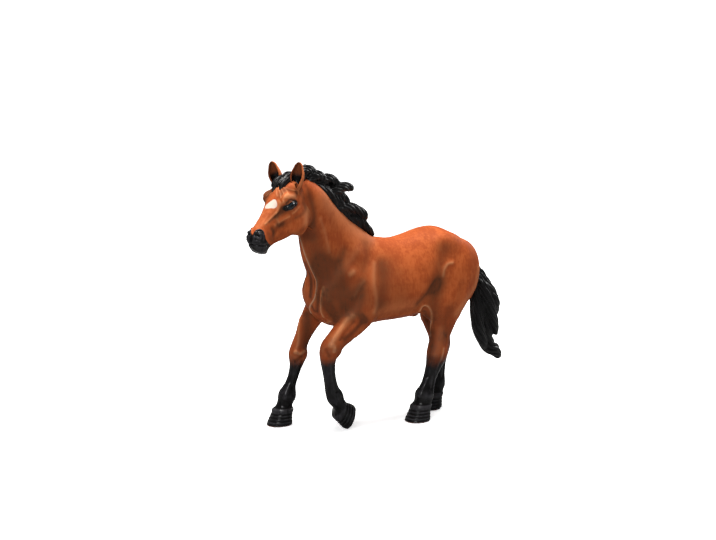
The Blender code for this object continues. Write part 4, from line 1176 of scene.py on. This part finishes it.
def leg_black(node, points, normals):
    """Black of a lower leg and its hoof, with less black along the sole's edge."""
    begin, full = BLACK_POINTS[node]
    black = 1 - ramp(points[:, 2], full * MM, begin * MM)
    below, above, strength = LEG_SHADE
    black = np.maximum(black, strength * (1 - ramp(points[:, 2], (begin - below) * MM, (begin + above) * MM)))
    low, high, strength = SOLE_EDGE
    rim = 1 - ramp(-normals @ hoof_frame(node)[1], *SOLE_FACING)
    return np.minimum(black, 1 - strength * (1 - ramp(hoof_heights(node, points), low, high)) * rim)


def coat_masks(node, points, normals, relief, tree):
    """Shade, black, white and light of the paint at each point, from nought to one: painted shade and painted
    highlight.
    """
    flat = flank_map(points)
    on_trunk = off_the_head(points)
    sides = ramp(np.abs(normals[:, 1]), *FLANK_PAINT_FACING) * on_trunk
    low, high, strength = TRUNK_SHADE
    coat = Paint(strength * (1 - ramp(points[:, 2], low * MM, high * MM)) * on_trunk)
    for stroke in FLANK_MARKS.values():
        coat.brush(flat, flank_line(stroke.line), stroke.paint, sides)
    for line, stroke in laid_strokes(tree):
        coat.brush(points, line, stroke.paint)
    black = np.zeros(len(points))
    if node in LEGS:
        black = leg_black(node, points, normals)
    if node == "head":
        black = face_paint(points, normals, tree, coat)
    # Painted shade in the hollows of the relief and painted highlight on its crests
    strength, start = HOLLOW_SHADE
    shade = np.clip(coat.shade + strength * np.clip(-relief - start, 0, 1), 0, 1)
    strength, start = CREST_LIGHT
    light = np.clip(coat.light + strength * np.clip(relief - start, 0, 1), 0, 1)
    return np.stack((shade, black, coat.white, light), axis=1)


def painted(piece, node, tree):
    """Give a casting its relief, as a share of the relief's depth, and its paint, for its material."""
    mesh = piece.data
    points, normals = points_of(mesh), normals_of(mesh)
    relief = values_of(mesh, "relief")
    # Stronger relief on the carved pieces and the horn's rings, for more painted shade and highlight
    if node in CUT_OFF:
        relief = relief + CARVED_LIGHT_AND_SHADE * fine_relief(mesh) * inner_of(mesh)
    if node in LEGS:
        relief = relief + HORN_LIGHT_AND_SHADE * hoof_relief(node, points)
    relief = relief / RELIEF_DEPTH
    attribute(mesh, "relief", "FLOAT", relief)
    attribute(mesh, "paint", "FLOAT_COLOR", coat_masks(node, points, normals, relief, tree))


# Eyes and ears


def eye_place(head, hand):
    """Middle of an eye on the face, and its axes: along the lids, across them and outwards."""
    (down, front), (run_down, run_front) = EYE_SHARES
    outward = HEAD_LEFT * hand
    start = head_spot(down, front, EYE_AIM_SHARE * hand)
    hit, normal, _, _ = tree_of(head.data).ray_cast(start, -outward)
    out = (outward + normal).normalized()
    run = HEAD_DOWN * run_down + HEAD_FRONT * run_front
    run = (run - out * run.dot(out)).normalized()
    return hit, run, out.cross(run).normalized(), out


def eye(name, head, hand):
    """A glossy almond set into its socket."""
    hit, run, across, out = eye_place(head, hand)
    bpy.ops.mesh.primitive_uv_sphere_add(segments=64, ring_count=32, radius=1)
    piece = bpy.context.active_object
    piece.name = name
    mesh = piece.data
    mesh.name = name
    points = points_of(mesh)
    taper, power = EYE_ALMOND
    points[:, 1] *= 1 - taper * np.abs(points[:, 0]) ** power
    attribute(mesh, "iris", "FLOAT", np.linalg.norm(points[:, :2], axis=1))
    axes = np.array((run, across, out))
    moved_to(mesh, np.array(hit - out * EYE_DEPTH) + (points * np.array(EYE_SIZE)) @ axes)
    if Matrix(axes).determinant() < 0:
        mesh.flip_normals()
        mesh.update()
    shaded(piece)
    return piece


def ear_ring(share, half):
    """A cross section of an ear: places across and back, each with how far in and how far round it lies."""
    reach = math.radians(np.interp(share, *zip(*EAR_WRAP_SHARES)))
    radius = half / math.sin(min(reach, math.pi / 2))
    wall = min(EAR_WALL, EAR_WALL_SHARE * radius)
    turns = np.linspace(-1, 1, EAR_SIDES)
    rim = np.linspace(0, math.pi, EAR_RIM + 2)[1:-1]
    middle = radius - wall / 2
    outer = [(u * reach, radius, 0.0, u) for u in turns]
    inner = [(u * reach, radius - wall, 1.0, u) for u in turns[::-1]]
    rear = []
    for a in rim:
        rear.append((reach + math.sin(a) * wall / 2 / middle, middle + math.cos(a) * wall / 2, 0.5, 1.0))
    fore = [(-angle, far, side, -1.0) for angle, far, side, _ in rear[::-1]]
    return [(far * math.sin(angle), EAR_DEPTH_SHARE * far * math.cos(angle), side, u)
            for angle, far, side, u in (*outer, *rear, *inner, *fore)]


def ear_axes(node):
    """Foot and length of an ear, and its axes: up it, towards its opening and across."""
    base, tip, heading = EAR_SHARES[node]
    start, end = np.array(head_spot(*base)), np.array(spot(*tip))
    length = np.linalg.norm(end - start)
    run = (end - start) / length
    opening = np.array((*heading, 0.0))
    opening -= run * (opening @ run)
    opening /= np.linalg.norm(opening)
    return start, length, run, opening, np.cross(run, opening)


def ear_skin(node, head):
    """A cupped leaf with rounded rims, its foot in the head, and how far up, in and round each point is."""
    start, length, run, opening, across = ear_axes(node)
    tree = tree_of(head.data)
    solid = bmesh.new()
    marks = []
    rings = []
    for share in np.linspace(EAR_START_SHARE, 1, EAR_ROWS):
        half = EAR_WIDTH / 2 * np.interp(share, *zip(*EAR_WIDTH_SHARES))
        centre = start + run * length * share + opening * EAR_BOW * share * (1 - share)
        ring = []
        for aside, back, side, turn in ear_ring(share, half):
            point = Vector(centre + across * aside - opening * back)
            place, normal, _, _ = tree.find_nearest(point)
            if (point - place).dot(normal) < EAR_REST:
                point = place - normal * EAR_REST
            ring.append(solid.verts.new(point))
            marks.append((share, side, turn))
        rings.append(ring)
    bridged(solid, rings)
    for ring in (rings[0], rings[-1]):
        bmesh.ops.triangulate(solid, faces=[solid.faces.new(ring)])
    bmesh.ops.recalc_face_normals(solid, faces=solid.faces)
    return solid, np.array(marks).T


def ear_paint(share, side, turn):
    """Paint of an ear: dark in its cup, foot and fore edge, partly painted shade, black low in the cup,
    painted highlight behind.
    """
    begin, full, strength = EAR_CUP
    cup = side * ramp(1 - np.abs(turn), begin, full)
    shade = strength * cup
    begin, full, strength = EAR_FORE_EDGE
    fore = ramp(-turn, begin, full)
    shade = shade + strength * fore
    begin, full, strength = EAR_FOOT
    shade = shade + strength * (1 - ramp(share, begin, full))
    begin, full, strength = EAR_CUP_BLACK
    black = np.maximum(strength * cup * (1 - ramp(share, begin, full)), EAR_EDGE_BLACK * fore)
    begin, full, strength = EAR_REAR_LIGHT
    light = strength * ramp(turn, begin, full) * (1 - side)
    return np.stack((np.clip(shade, 0, 1), black, np.zeros(len(share)), light), axis=1)


def ear(node, head):
    """A painted ear."""
    solid, marks = ear_skin(node, head)
    piece = piece_from(node + "_casting", solid)
    shaded(piece)
    attribute(piece.data, "relief", "FLOAT", np.zeros(marks.shape[1]))
    attribute(piece.data, "paint", "FLOAT_COLOR", ear_paint(*marks))
    return piece


# Hair


def tube(solid, centres, radii, sides=8):
    """A closed round tube along centres."""
    rings = []
    for i, centre in enumerate(centres):
        run = Vector(centres[min(i + 1, len(centres) - 1)] - centres[max(i - 1, 0)]).normalized()
        across = (Vector(TUBE_TILT) - run * run.y).cross(run).normalized()
        fore = run.cross(across)
        ring = []
        for step in range(sides):
            angle = math.tau * step / sides
            offset = across * math.cos(angle) + fore * math.sin(angle)
            ring.append(solid.verts.new(Vector(centre) + offset * radii[i]))
        rings.append(ring)
    bridged(solid, rings)
    for ring in (rings[0], rings[-1]):
        solid.faces.new(ring)


def twisted(solid, places, depth, width, strands, turns, seed):
    """A lock of strands that wind round its middle line and meet at its tip."""
    rows = smooth_rows(places, STRAND_STEPS)
    count = len(rows)
    share = np.linspace(0, 1, count)
    profile = np.interp(share, np.linspace(0, 1, len(LOCK_PROFILE_SHARES)), LOCK_PROFILE_SHARES)
    place, thickness = STRAND_SHARES
    swing, waves, shift = STRAND_WANDER
    for number in range(strands):
        phase = math.tau * (number / strands + STRAND_SHIFT * seed)
        centres = []
        radii = []
        for i in range(count):
            run = rows[min(i + 1, count - 1)] - rows[max(i - 1, 0)]
            run = run / np.linalg.norm(run)
            across = np.array((0, 1, 0)) - run * run[1]
            across = across / np.linalg.norm(across)
            fore = np.cross(across, run)
            angle = phase + math.tau * turns * share[i]
            wander = 1 + swing * math.sin(waves * share[i] + shift * number + seed)
            off = across * (math.cos(angle) * width) + fore * (math.sin(angle) * depth)
            centres.append(rows[i] + off * (place * profile[i] * wander))
            thin = thickness * STRANDS_OF_A_LOCK / strands * profile[i] * (depth + width) / 2
            radii.append(max(thin, THINNEST_STRAND))
        tube(solid, centres, radii)


def mane_strands(solid):
    crest = sorted(CREST_SHARES)
    for number, points in enumerate(MANE_LOCK_SHARES.values()):
        for side, rise in LOCK_SIDE_SHARES:
            places = []
            for along, height in points:
                foot = float(np.interp(along, [row[0] for row in crest], [row[2] for row in crest]))
                place = spot(along, crest_share(along), foot + (height - foot) * rise)
                places.append(place + Vector((0, side * LOCK_SPREAD_SHARES[number % 2] * MANE_WIDTH, 0)))
            twisted(solid, places, MANE_LOCK, MANE_LOCK_SHARE * MANE_WIDTH,
                    strands=STRANDS_OF_A_LOCK, turns=side * 0.9, seed=number + 0.5 * side)
    root = [spot(along, crest_share(along), height) for along, height in MANE_ROOT_SHARES]
    rows = smooth_rows(root, ROOT_STEPS)
    tube(solid, rows, [MANE_LOCK] * len(rows), sides=12)


def tail_strands(solid):
    for number, (name, (points, half)) in enumerate(TAIL_LOCK_SHARES.items()):
        places = [spot(*point) for point in points]
        size = half * TAIL_WIDTH
        twisted(solid, places, size, size, strands=15 if name == "core" else 9, turns=0.6, seed=number)


def forelock_strands(solid):
    for number, (points, half) in enumerate(FORELOCK_SHARES.values()):
        places = [head_spot(*point) for point in points]
        size = half * HEAD_LENGTH
        twisted(solid, places, size, size, strands=6, turns=0.18, seed=number)


def hair(node, strands, grain):
    """The CAD hair drawn in a little and overlaid with strands, melted into one skin."""
    piece = copied(node + "_casting", (node,))
    swollen(piece, -HAIR_CORE)
    solid = solid_of(piece.data)
    strands(solid)
    bmesh.ops.recalc_face_normals(solid, faces=solid.faces)
    put_back(solid, piece.data)
    melted(piece, grain)
    softened(piece, FINE_PASSES)
    shaded(piece)
    attribute(piece.data, "relief", "FLOAT", fine_relief(piece.data) / RELIEF_DEPTH)
    return piece


# Materials


class Wires:
    """A node tree that is filled by naming its nodes' kinds, their settings and what feeds them."""

    def __init__(self, tree):
        self.tree = tree

    def put_in(self, socket, value):
        if isinstance(value, bpy.types.NodeSocket):
            self.tree.links.new(value, socket)
        else:
            socket.default_value = value

    def node(self, kind, inputs=None, **settings):
        made = self.tree.nodes.new(kind)
        for name, value in settings.items():
            setattr(made, name, value)
        for name, value in (inputs or {}).items():
            self.put_in(made.inputs[name], value)
        return made

    def math(self, operation, first, second, clamp=False):
        made = self.node("ShaderNodeMath", {0: first, 1: second}, operation=operation, use_clamp=clamp)
        return made.outputs[0]

    def plus(self, first, second, clamp=False):
        return self.math("ADD", first, second, clamp)

    def times(self, first, second):
        return self.math("MULTIPLY", first, second)

    def mixed(self, share, first, second):
        """A blend of two colours, each a socket or a paint of three numbers."""
        ends = [end if isinstance(end, bpy.types.NodeSocket) else (*end, 1) for end in (first, second)]
        return self.node("ShaderNodeMix", {0: share, 6: ends[0], 7: ends[1]}, data_type="RGBA").outputs[2]

    def noise(self, scale, detail, distortion=0.0, stretch=1.0):
        """Noise over the piece's own coordinates, drawn out upwards by a stretch."""
        place = self.node("ShaderNodeTexCoord").outputs["Object"]
        drawn = self.node("ShaderNodeVectorMath", {0: place, 1: (1, 1, 1 / stretch)}, operation="MULTIPLY")
        inputs = {"Vector": drawn.outputs[0], "Scale": scale, "Detail": detail, "Distortion": distortion}
        return self.node("ShaderNodeTexNoise", inputs).outputs[0]

    def span(self, value, low, high, bottom=0.0, top=1.0):
        """A soft rise from bottom to top while a value goes from low to high."""
        inputs = {0: value, 1: low, 2: high, 3: bottom, 4: top}
        return self.node("ShaderNodeMapRange", inputs, interpolation_type="SMOOTHSTEP").outputs[0]

    def attribute(self, name):
        return self.node("ShaderNodeAttribute", attribute_name=name)

    def film(self, grain):
        """Height and mottle of the paint's film."""
        made = self.node("ShaderNodeGroup", node_tree=grain)
        return made.outputs["Height"], made.outputs["Mottle"]

    def bumped(self, height, strength):
        """A normal from the film's height."""
        inputs = {"Height": height, "Strength": strength, "Distance": GRAIN_HEIGHT}
        return self.node("ShaderNodeBump", inputs).outputs[0]


def paint_grain():
    """Shared by all the painted pieces: a fine uneven film, as a height and a mottle."""
    tree = bpy.data.node_groups.new("paint_grain", "ShaderNodeTree")
    for label in ("Height", "Mottle"):
        tree.interface.new_socket(label, in_out="OUTPUT", socket_type="NodeSocketFloat")
    wires = Wires(tree)
    out = tree.nodes.new("NodeGroupOutput")
    fine = wires.noise(scale=2600.0, detail=4.0)
    broad = wires.noise(scale=150.0, detail=2.0, distortion=0.8)
    middle = wires.noise(scale=700.0, detail=4.0)
    streak = wires.noise(scale=1500.0, detail=2.0, distortion=0.3, stretch=6.0)
    wires.put_in(out.inputs["Height"], wires.plus(wires.times(fine, 0.35), middle))
    brushed = wires.plus(wires.times(middle, 0.25), wires.times(streak, 0.30))
    wires.put_in(out.inputs["Mottle"], wires.plus(brushed, wires.times(broad, 0.45)))
    return tree


def new_material(name):
    made = bpy.data.materials.new(name)
    made.use_nodes = True
    made.node_tree.nodes.clear()
    wires = Wires(made.node_tree)
    surface = wires.node("ShaderNodeBsdfPrincipled")
    wires.node("ShaderNodeOutputMaterial", {"Surface": surface.outputs[0]})
    return wires, surface


def feed(wires, surface, **inputs):
    """Put a value or a socket into each input of a surface, named with underscores."""
    for name, value in inputs.items():
        wires.put_in(surface.inputs[name.replace("_", " ")], value)


def coat_material(paints, grain):
    """Bay paint over the casting: painted highlight on its crests, painted shade in its hollows, black
    points, white star.
    """
    wires, surface = new_material("bay_coat")
    height, mottle = wires.film(grain)
    masks = wires.attribute("paint").outputs
    paint = wires.node("ShaderNodeSeparateColor", {0: masks["Color"]})
    shade, black, white = paint.outputs[0], paint.outputs[1], paint.outputs[2]
    uneven = wires.times(wires.math("SUBTRACT", mottle, 0.5), 0.5)
    bay = wires.mixed(wires.span(mottle, *BAY_PATCHES), paints.bay_low, paints.bay_high)
    crest = wires.mixed(wires.span(white, *PALE_LINES_AND_HIGHLIGHTS), paints.light, paints.pale)
    # Painted highlight from the light mask, pale on the strongest strokes
    lit = wires.mixed(wires.plus(masks["Alpha"], uneven, clamp=True), bay, crest)
    # Painted shade from the shade mask, together with the airbrushed brown
    brushed = wires.times(shade, wires.span(mottle, *SHADE_BRUSHING))
    dark = wires.mixed(wires.plus(brushed, wires.times(uneven, 0.3), clamp=True), lit, paints.shade)
    # Painted highlight: the black turns grey on raised ridges and rings
    raised = wires.span(wires.attribute("relief").outputs["Fac"], *HIGHLIT_RIDGES)
    highlit = wires.times(raised, wires.span(mottle, *HIGHLIT_PATCHES))
    ink = wires.mixed(highlit, paints.black, paints.hair_highlight)
    edge = wires.span(wires.plus(black, wires.times(uneven, 1.2)), *BLACK_EDGE)
    star = wires.span(wires.plus(white, wires.times(uneven, 3.0)), *STAR_EDGE)
    colour = wires.mixed(star, wires.mixed(edge, dark, ink), paints.white)
    rough = wires.plus(wires.span(edge, *COAT_ROUGHNESS), wires.times(uneven, 0.25))
    feed(wires, surface, Base_Color=colour, Roughness=rough, Normal=wires.bumped(height, 0.35),
         Specular_IOR_Level=0.06, Coat_Weight=wires.span(edge, *COAT_GLOSS), Coat_Roughness=0.20)


def hair_material(paints, grain):
    """Black paint with a painted grey highlight over the raised strands."""
    wires, surface = new_material("black_hair")
    height, mottle = wires.film(grain)
    # Painted highlight: grey on the raised strands
    ridges = wires.span(wires.attribute("relief").outputs["Fac"], *HAIR_RIDGES)
    raised = wires.times(ridges, wires.span(mottle, *HAIR_PATCHES))
    colour = wires.mixed(wires.times(raised, HAIR_GREY), paints.black, paints.hair_highlight)
    feed(wires, surface, Base_Color=colour, Roughness=wires.span(mottle, *HAIR_ROUGHNESS),
         Normal=wires.bumped(height, 0.4), Specular_IOR_Level=0.16)


def eye_material(paints, grain):
    """Dark slate paint with a black pupil and rim under a clear gloss."""
    wires, surface = new_material("glossy_eye")
    _, mottle = wires.film(grain)
    place = wires.attribute("iris").outputs["Fac"]
    ring = wires.times(wires.span(place, *PUPIL_EDGE), wires.span(place, *IRIS_EDGE))
    colour = wires.mixed(wires.times(ring, wires.span(mottle, *IRIS_STREAKS)), paints.black, paints.iris)
    feed(wires, surface, Base_Color=colour, Roughness=wires.span(mottle, *EYE_ROUGHNESS), Coat_Weight=0.1,
         Coat_Roughness=0.03, Specular_IOR_Level=0.2)


def table_material(paints, grain):
    """A plain pale table that the camera sees as white, with the figure's shadow left on it."""
    wires, surface = new_material("pale_table")
    _, mottle = wires.film(grain)
    seen = wires.node("ShaderNodeLightPath").outputs["Is Camera Ray"]
    place = wires.node("ShaderNodeTexCoord").outputs["Object"]
    away = wires.node("ShaderNodeVectorMath", {0: place}, operation="LENGTH").outputs["Value"]
    pale = wires.mixed(wires.times(mottle, TABLE_GRAIN), paints.table, TABLE_GREY)
    glow = wires.times(seen, wires.span(away, *TABLE_GLOW))
    feed(wires, surface, Base_Color=wires.mixed(seen, paints.table_bounce, pale), Roughness=0.8,
         Specular_IOR_Level=0.1, Emission_Color=wires.mixed(glow, (0, 0, 0), (1, 1, 1)),
         Emission_Strength=1.0)


def dress(piece, material, node=None):
    """Give a finished piece its material and its body, and hide the CAD node it stands for."""
    piece.data.materials.clear()
    piece.data.materials.append(bpy.data.materials[material])
    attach(piece, "root")
    if node:
        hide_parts(node)


# Light, table and camera


def aimed(thing, target):
    """Turn a lamp or a camera towards a place."""
    thing.rotation_euler = (target - thing.location).to_track_quat("-Z", "Y").to_euler()


def lay_table():
    bpy.ops.mesh.primitive_plane_add(size=TABLE_SIZE)
    table = bpy.context.active_object
    table.name = "table"
    table.data.materials.append(bpy.data.materials["pale_table"])


def set_camera(distance, lens):
    """A camera on the photograph's side of the figure."""
    turn, rise = math.radians(VIEW_AZIMUTH), math.radians(VIEW_ELEVATION)
    away = Vector((math.sin(turn) * math.cos(rise), -math.cos(turn) * math.cos(rise), math.sin(rise)))
    bpy.ops.object.camera_add(location=MIDDLE + away * distance)
    camera = bpy.context.active_object
    aimed(camera, MIDDLE)
    camera.data.sensor_width = SENSOR_WIDTH
    camera.data.lens = lens
    camera.data.clip_start = CLIP_NEAR
    camera.data.clip_end = CLIP_FAR
    bpy.context.scene.camera = camera


def light_room():
    """A room that the camera sees as white and that lights the figure dimly."""
    world = bpy.data.worlds.new("studio")
    world.use_nodes = True
    wires = Wires(world.node_tree)
    back = world.node_tree.nodes["Background"]
    seen = wires.node("ShaderNodeLightPath").outputs["Is Camera Ray"]
    wires.put_in(back.inputs["Strength"], wires.span(seen, 0.0, 1.0, ROOM_LIGHT, 1.0))
    wires.put_in(back.inputs["Color"], (1, 1, 1, 1))
    bpy.context.scene.world = world


def hang_lamp(name, place, size, power, colour):
    bpy.ops.object.light_add(type="AREA", location=place)
    lamp = bpy.context.active_object
    lamp.name = name
    aimed(lamp, MIDDLE)
    lamp.data.shape = "DISK"
    lamp.data.size = size
    lamp.data.energy = power
    lamp.data.color = colour


# What a user can change


def length(name, description, default):
    return bpy.props.FloatProperty(
        name=name, description=description, default=default, subtype="DISTANCE", unit="LENGTH")


def paint_colour(name, description, default):
    return bpy.props.FloatVectorProperty(name=name, description=description, default=default, subtype="COLOR")


class ToyHorseSizes(bpy.types.PropertyGroup):
    """Fineness of the pieces and the place of the camera."""

    skin_grain: length("Skin grain", "Facets of the skin before the head and legs are refined", 0.36 * MM)
    hair_grain: length("Hair grain", "Size of the facets of mane, tail and forelock", 0.21 * MM)
    smoothing: bpy.props.IntProperty(
        name="Smoothing", description="How often the skin is smoothed before it is sculpted", default=16)
    camera_distance: length("Camera distance", "From the camera to the middle of the figure", 650 * MM)
    camera_lens: bpy.props.FloatProperty(
        name="Camera lens", description="Focal length on a sensor 36 wide", default=81.7,
        subtype="DISTANCE_CAMERA", unit="CAMERA")


class ToyHorsePaints(bpy.types.PropertyGroup):
    """Colours of the paints and the table."""

    bay_high: paint_colour("Bay", "Bay coat where the film is thick", (0.43, 0.094, 0.024))
    bay_low: paint_colour("Bay, thin", "Bay coat where the film is thin", (0.32, 0.062, 0.016))
    # Painted highlight on raised forms and light strokes
    light: paint_colour("Crests", "Lighter bay on raised forms", (0.56, 0.200, 0.080))
    # Pale: painted highlight on the sharpest ridges, together with the toy's own pale lines
    pale: paint_colour("Ridges", "Pale wipe on the sharpest ridges", (0.62, 0.36, 0.24))
    # Painted shade, together with the toy's airbrushed brown
    shade: paint_colour("Hollows", "Dark airbrushed brown in the hollows", (0.060, 0.024, 0.012))
    black: paint_colour("Black", "Black of the points, hooves, muzzle and hair", (0.004, 0.0037, 0.0038))
    white: paint_colour("Star", "White of the star", (0.64, 0.52, 0.44))
    # Painted highlight on raised strands and on the raised black
    hair_highlight: paint_colour("Strands", "Grey on raised strands and worn black", (0.045, 0.043, 0.048))
    iris: paint_colour("Iris", "Slate ring round the pupil", (0.010, 0.020, 0.028))
    table: paint_colour("Table", "Table under the figure", (0.88, 0.88, 0.88))
    table_bounce: paint_colour("Table, bounced", "What the table sends back", (0.28, 0.28, 0.28))


class TOYHORSE_OT_materials(bpy.types.Operator):
    """Mix the paints"""

    bl_idname = "toyhorse.materials"
    bl_label = "Mix the paints"

    def execute(self, context):
        grain = paint_grain()
        for mix in (coat_material, hair_material, eye_material, table_material):
            mix(context.scene.toy_horse_paints, grain)
        return {"FINISHED"}


class TOYHORSE_OT_castings(bpy.types.Operator):
    """Model the skin, cut it along its joints and paint each casting"""

    bl_idname = "toyhorse.castings"
    bl_label = "Build the castings"

    def execute(self, context):
        sizes = context.scene.toy_horse_sizes
        clay = clay_skin(sizes.skin_grain, sizes.smoothing)
        fields = fields_of(clay.data)
        mended(clay.data, fields)
        lifted(clay.data, trunk_relief(clay.data))
        softened(clay, FINE_PASSES)
        tree = tree_of(clay.data)
        pieces = castings_of(clay.data, fields)
        bpy.data.objects.remove(clay)
        for node, piece in pieces.items():
            if node in CUT_OFF:
                carved(piece, node)
            painted(piece, node, tree)
            closed(piece)
            dress(piece, "bay_coat", node)
        return {"FINISHED"}


class TOYHORSE_OT_eyes(bpy.types.Operator):
    """Set the two glossy eyes into the head"""

    bl_idname = "toyhorse.eyes"
    bl_label = "Set the eyes"

    def execute(self, context):
        for name, hand in (("left_eye", 1), ("right_eye", -1)):
            dress(eye(name, bpy.data.objects["head_casting"], hand), "glossy_eye")
        return {"FINISHED"}


class TOYHORSE_OT_ears(bpy.types.Operator):
    """Round and paint the two ears"""

    bl_idname = "toyhorse.ears"
    bl_label = "Build the ears"

    def execute(self, context):
        for node in EARS:
            dress(ear(node, bpy.data.objects["head_casting"]), "bay_coat", node)
        return {"FINISHED"}


class TOYHORSE_OT_hair(bpy.types.Operator):
    """Sculpt the strands of the mane, the tail and the forelock"""

    bl_idname = "toyhorse.hair"
    bl_label = "Sculpt the hair"

    def execute(self, context):
        grain = context.scene.toy_horse_sizes.hair_grain
        for node, strands in (("mane", mane_strands), ("tail", tail_strands), ("forelock", forelock_strands)):
            dress(hair(node, strands, grain), "black_hair", node)
        return {"FINISHED"}


class TOYHORSE_OT_stage(bpy.types.Operator):
    """Set up the table, the camera and the light"""

    bl_idname = "toyhorse.stage"
    bl_label = "Set the stage"

    def execute(self, context):
        sizes = context.scene.toy_horse_sizes
        lay_table()
        set_camera(sizes.camera_distance, sizes.camera_lens)
        light_room()
        for name, lamp in LAMPS.items():
            hang_lamp(name, *lamp)
        context.scene.view_settings.view_transform = "Standard"
        return {"FINISHED"}


STEPS = (TOYHORSE_OT_materials, TOYHORSE_OT_castings, TOYHORSE_OT_eyes, TOYHORSE_OT_ears, TOYHORSE_OT_hair,
         TOYHORSE_OT_stage)


class TOYHORSE_PT_panel(bpy.types.Panel):
    """The steps of the toy horse in the sidebar"""

    bl_idname = "TOYHORSE_PT_panel"
    bl_label = "Toy horse"
    bl_space_type = "VIEW_3D"
    bl_region_type = "UI"
    bl_category = "Toy horse"

    def draw(self, context):
        for group_name in ("toy_horse_sizes", "toy_horse_paints"):
            settings = getattr(context.scene, group_name)
            for name in settings.__annotations__:
                self.layout.prop(settings, name)
        for step in STEPS:
            self.layout.operator(step.bl_idname)


CLASSES = (ToyHorseSizes, ToyHorsePaints, *STEPS, TOYHORSE_PT_panel)


def register():
    for kind in CLASSES:
        bpy.utils.register_class(kind)
    bpy.types.Scene.toy_horse_sizes = bpy.props.PointerProperty(type=ToyHorseSizes)
    bpy.types.Scene.toy_horse_paints = bpy.props.PointerProperty(type=ToyHorsePaints)


def unregister():
    del bpy.types.Scene.toy_horse_paints
    del bpy.types.Scene.toy_horse_sizes
    for kind in reversed(CLASSES):
        bpy.utils.unregister_class(kind)


def main():
    register()
    bpy.ops.toyhorse.materials()
    bpy.ops.toyhorse.castings()
    bpy.ops.toyhorse.eyes()
    bpy.ops.toyhorse.ears()
    bpy.ops.toyhorse.hair()
    bpy.ops.toyhorse.stage()


if __name__ == "__main__":
    main()
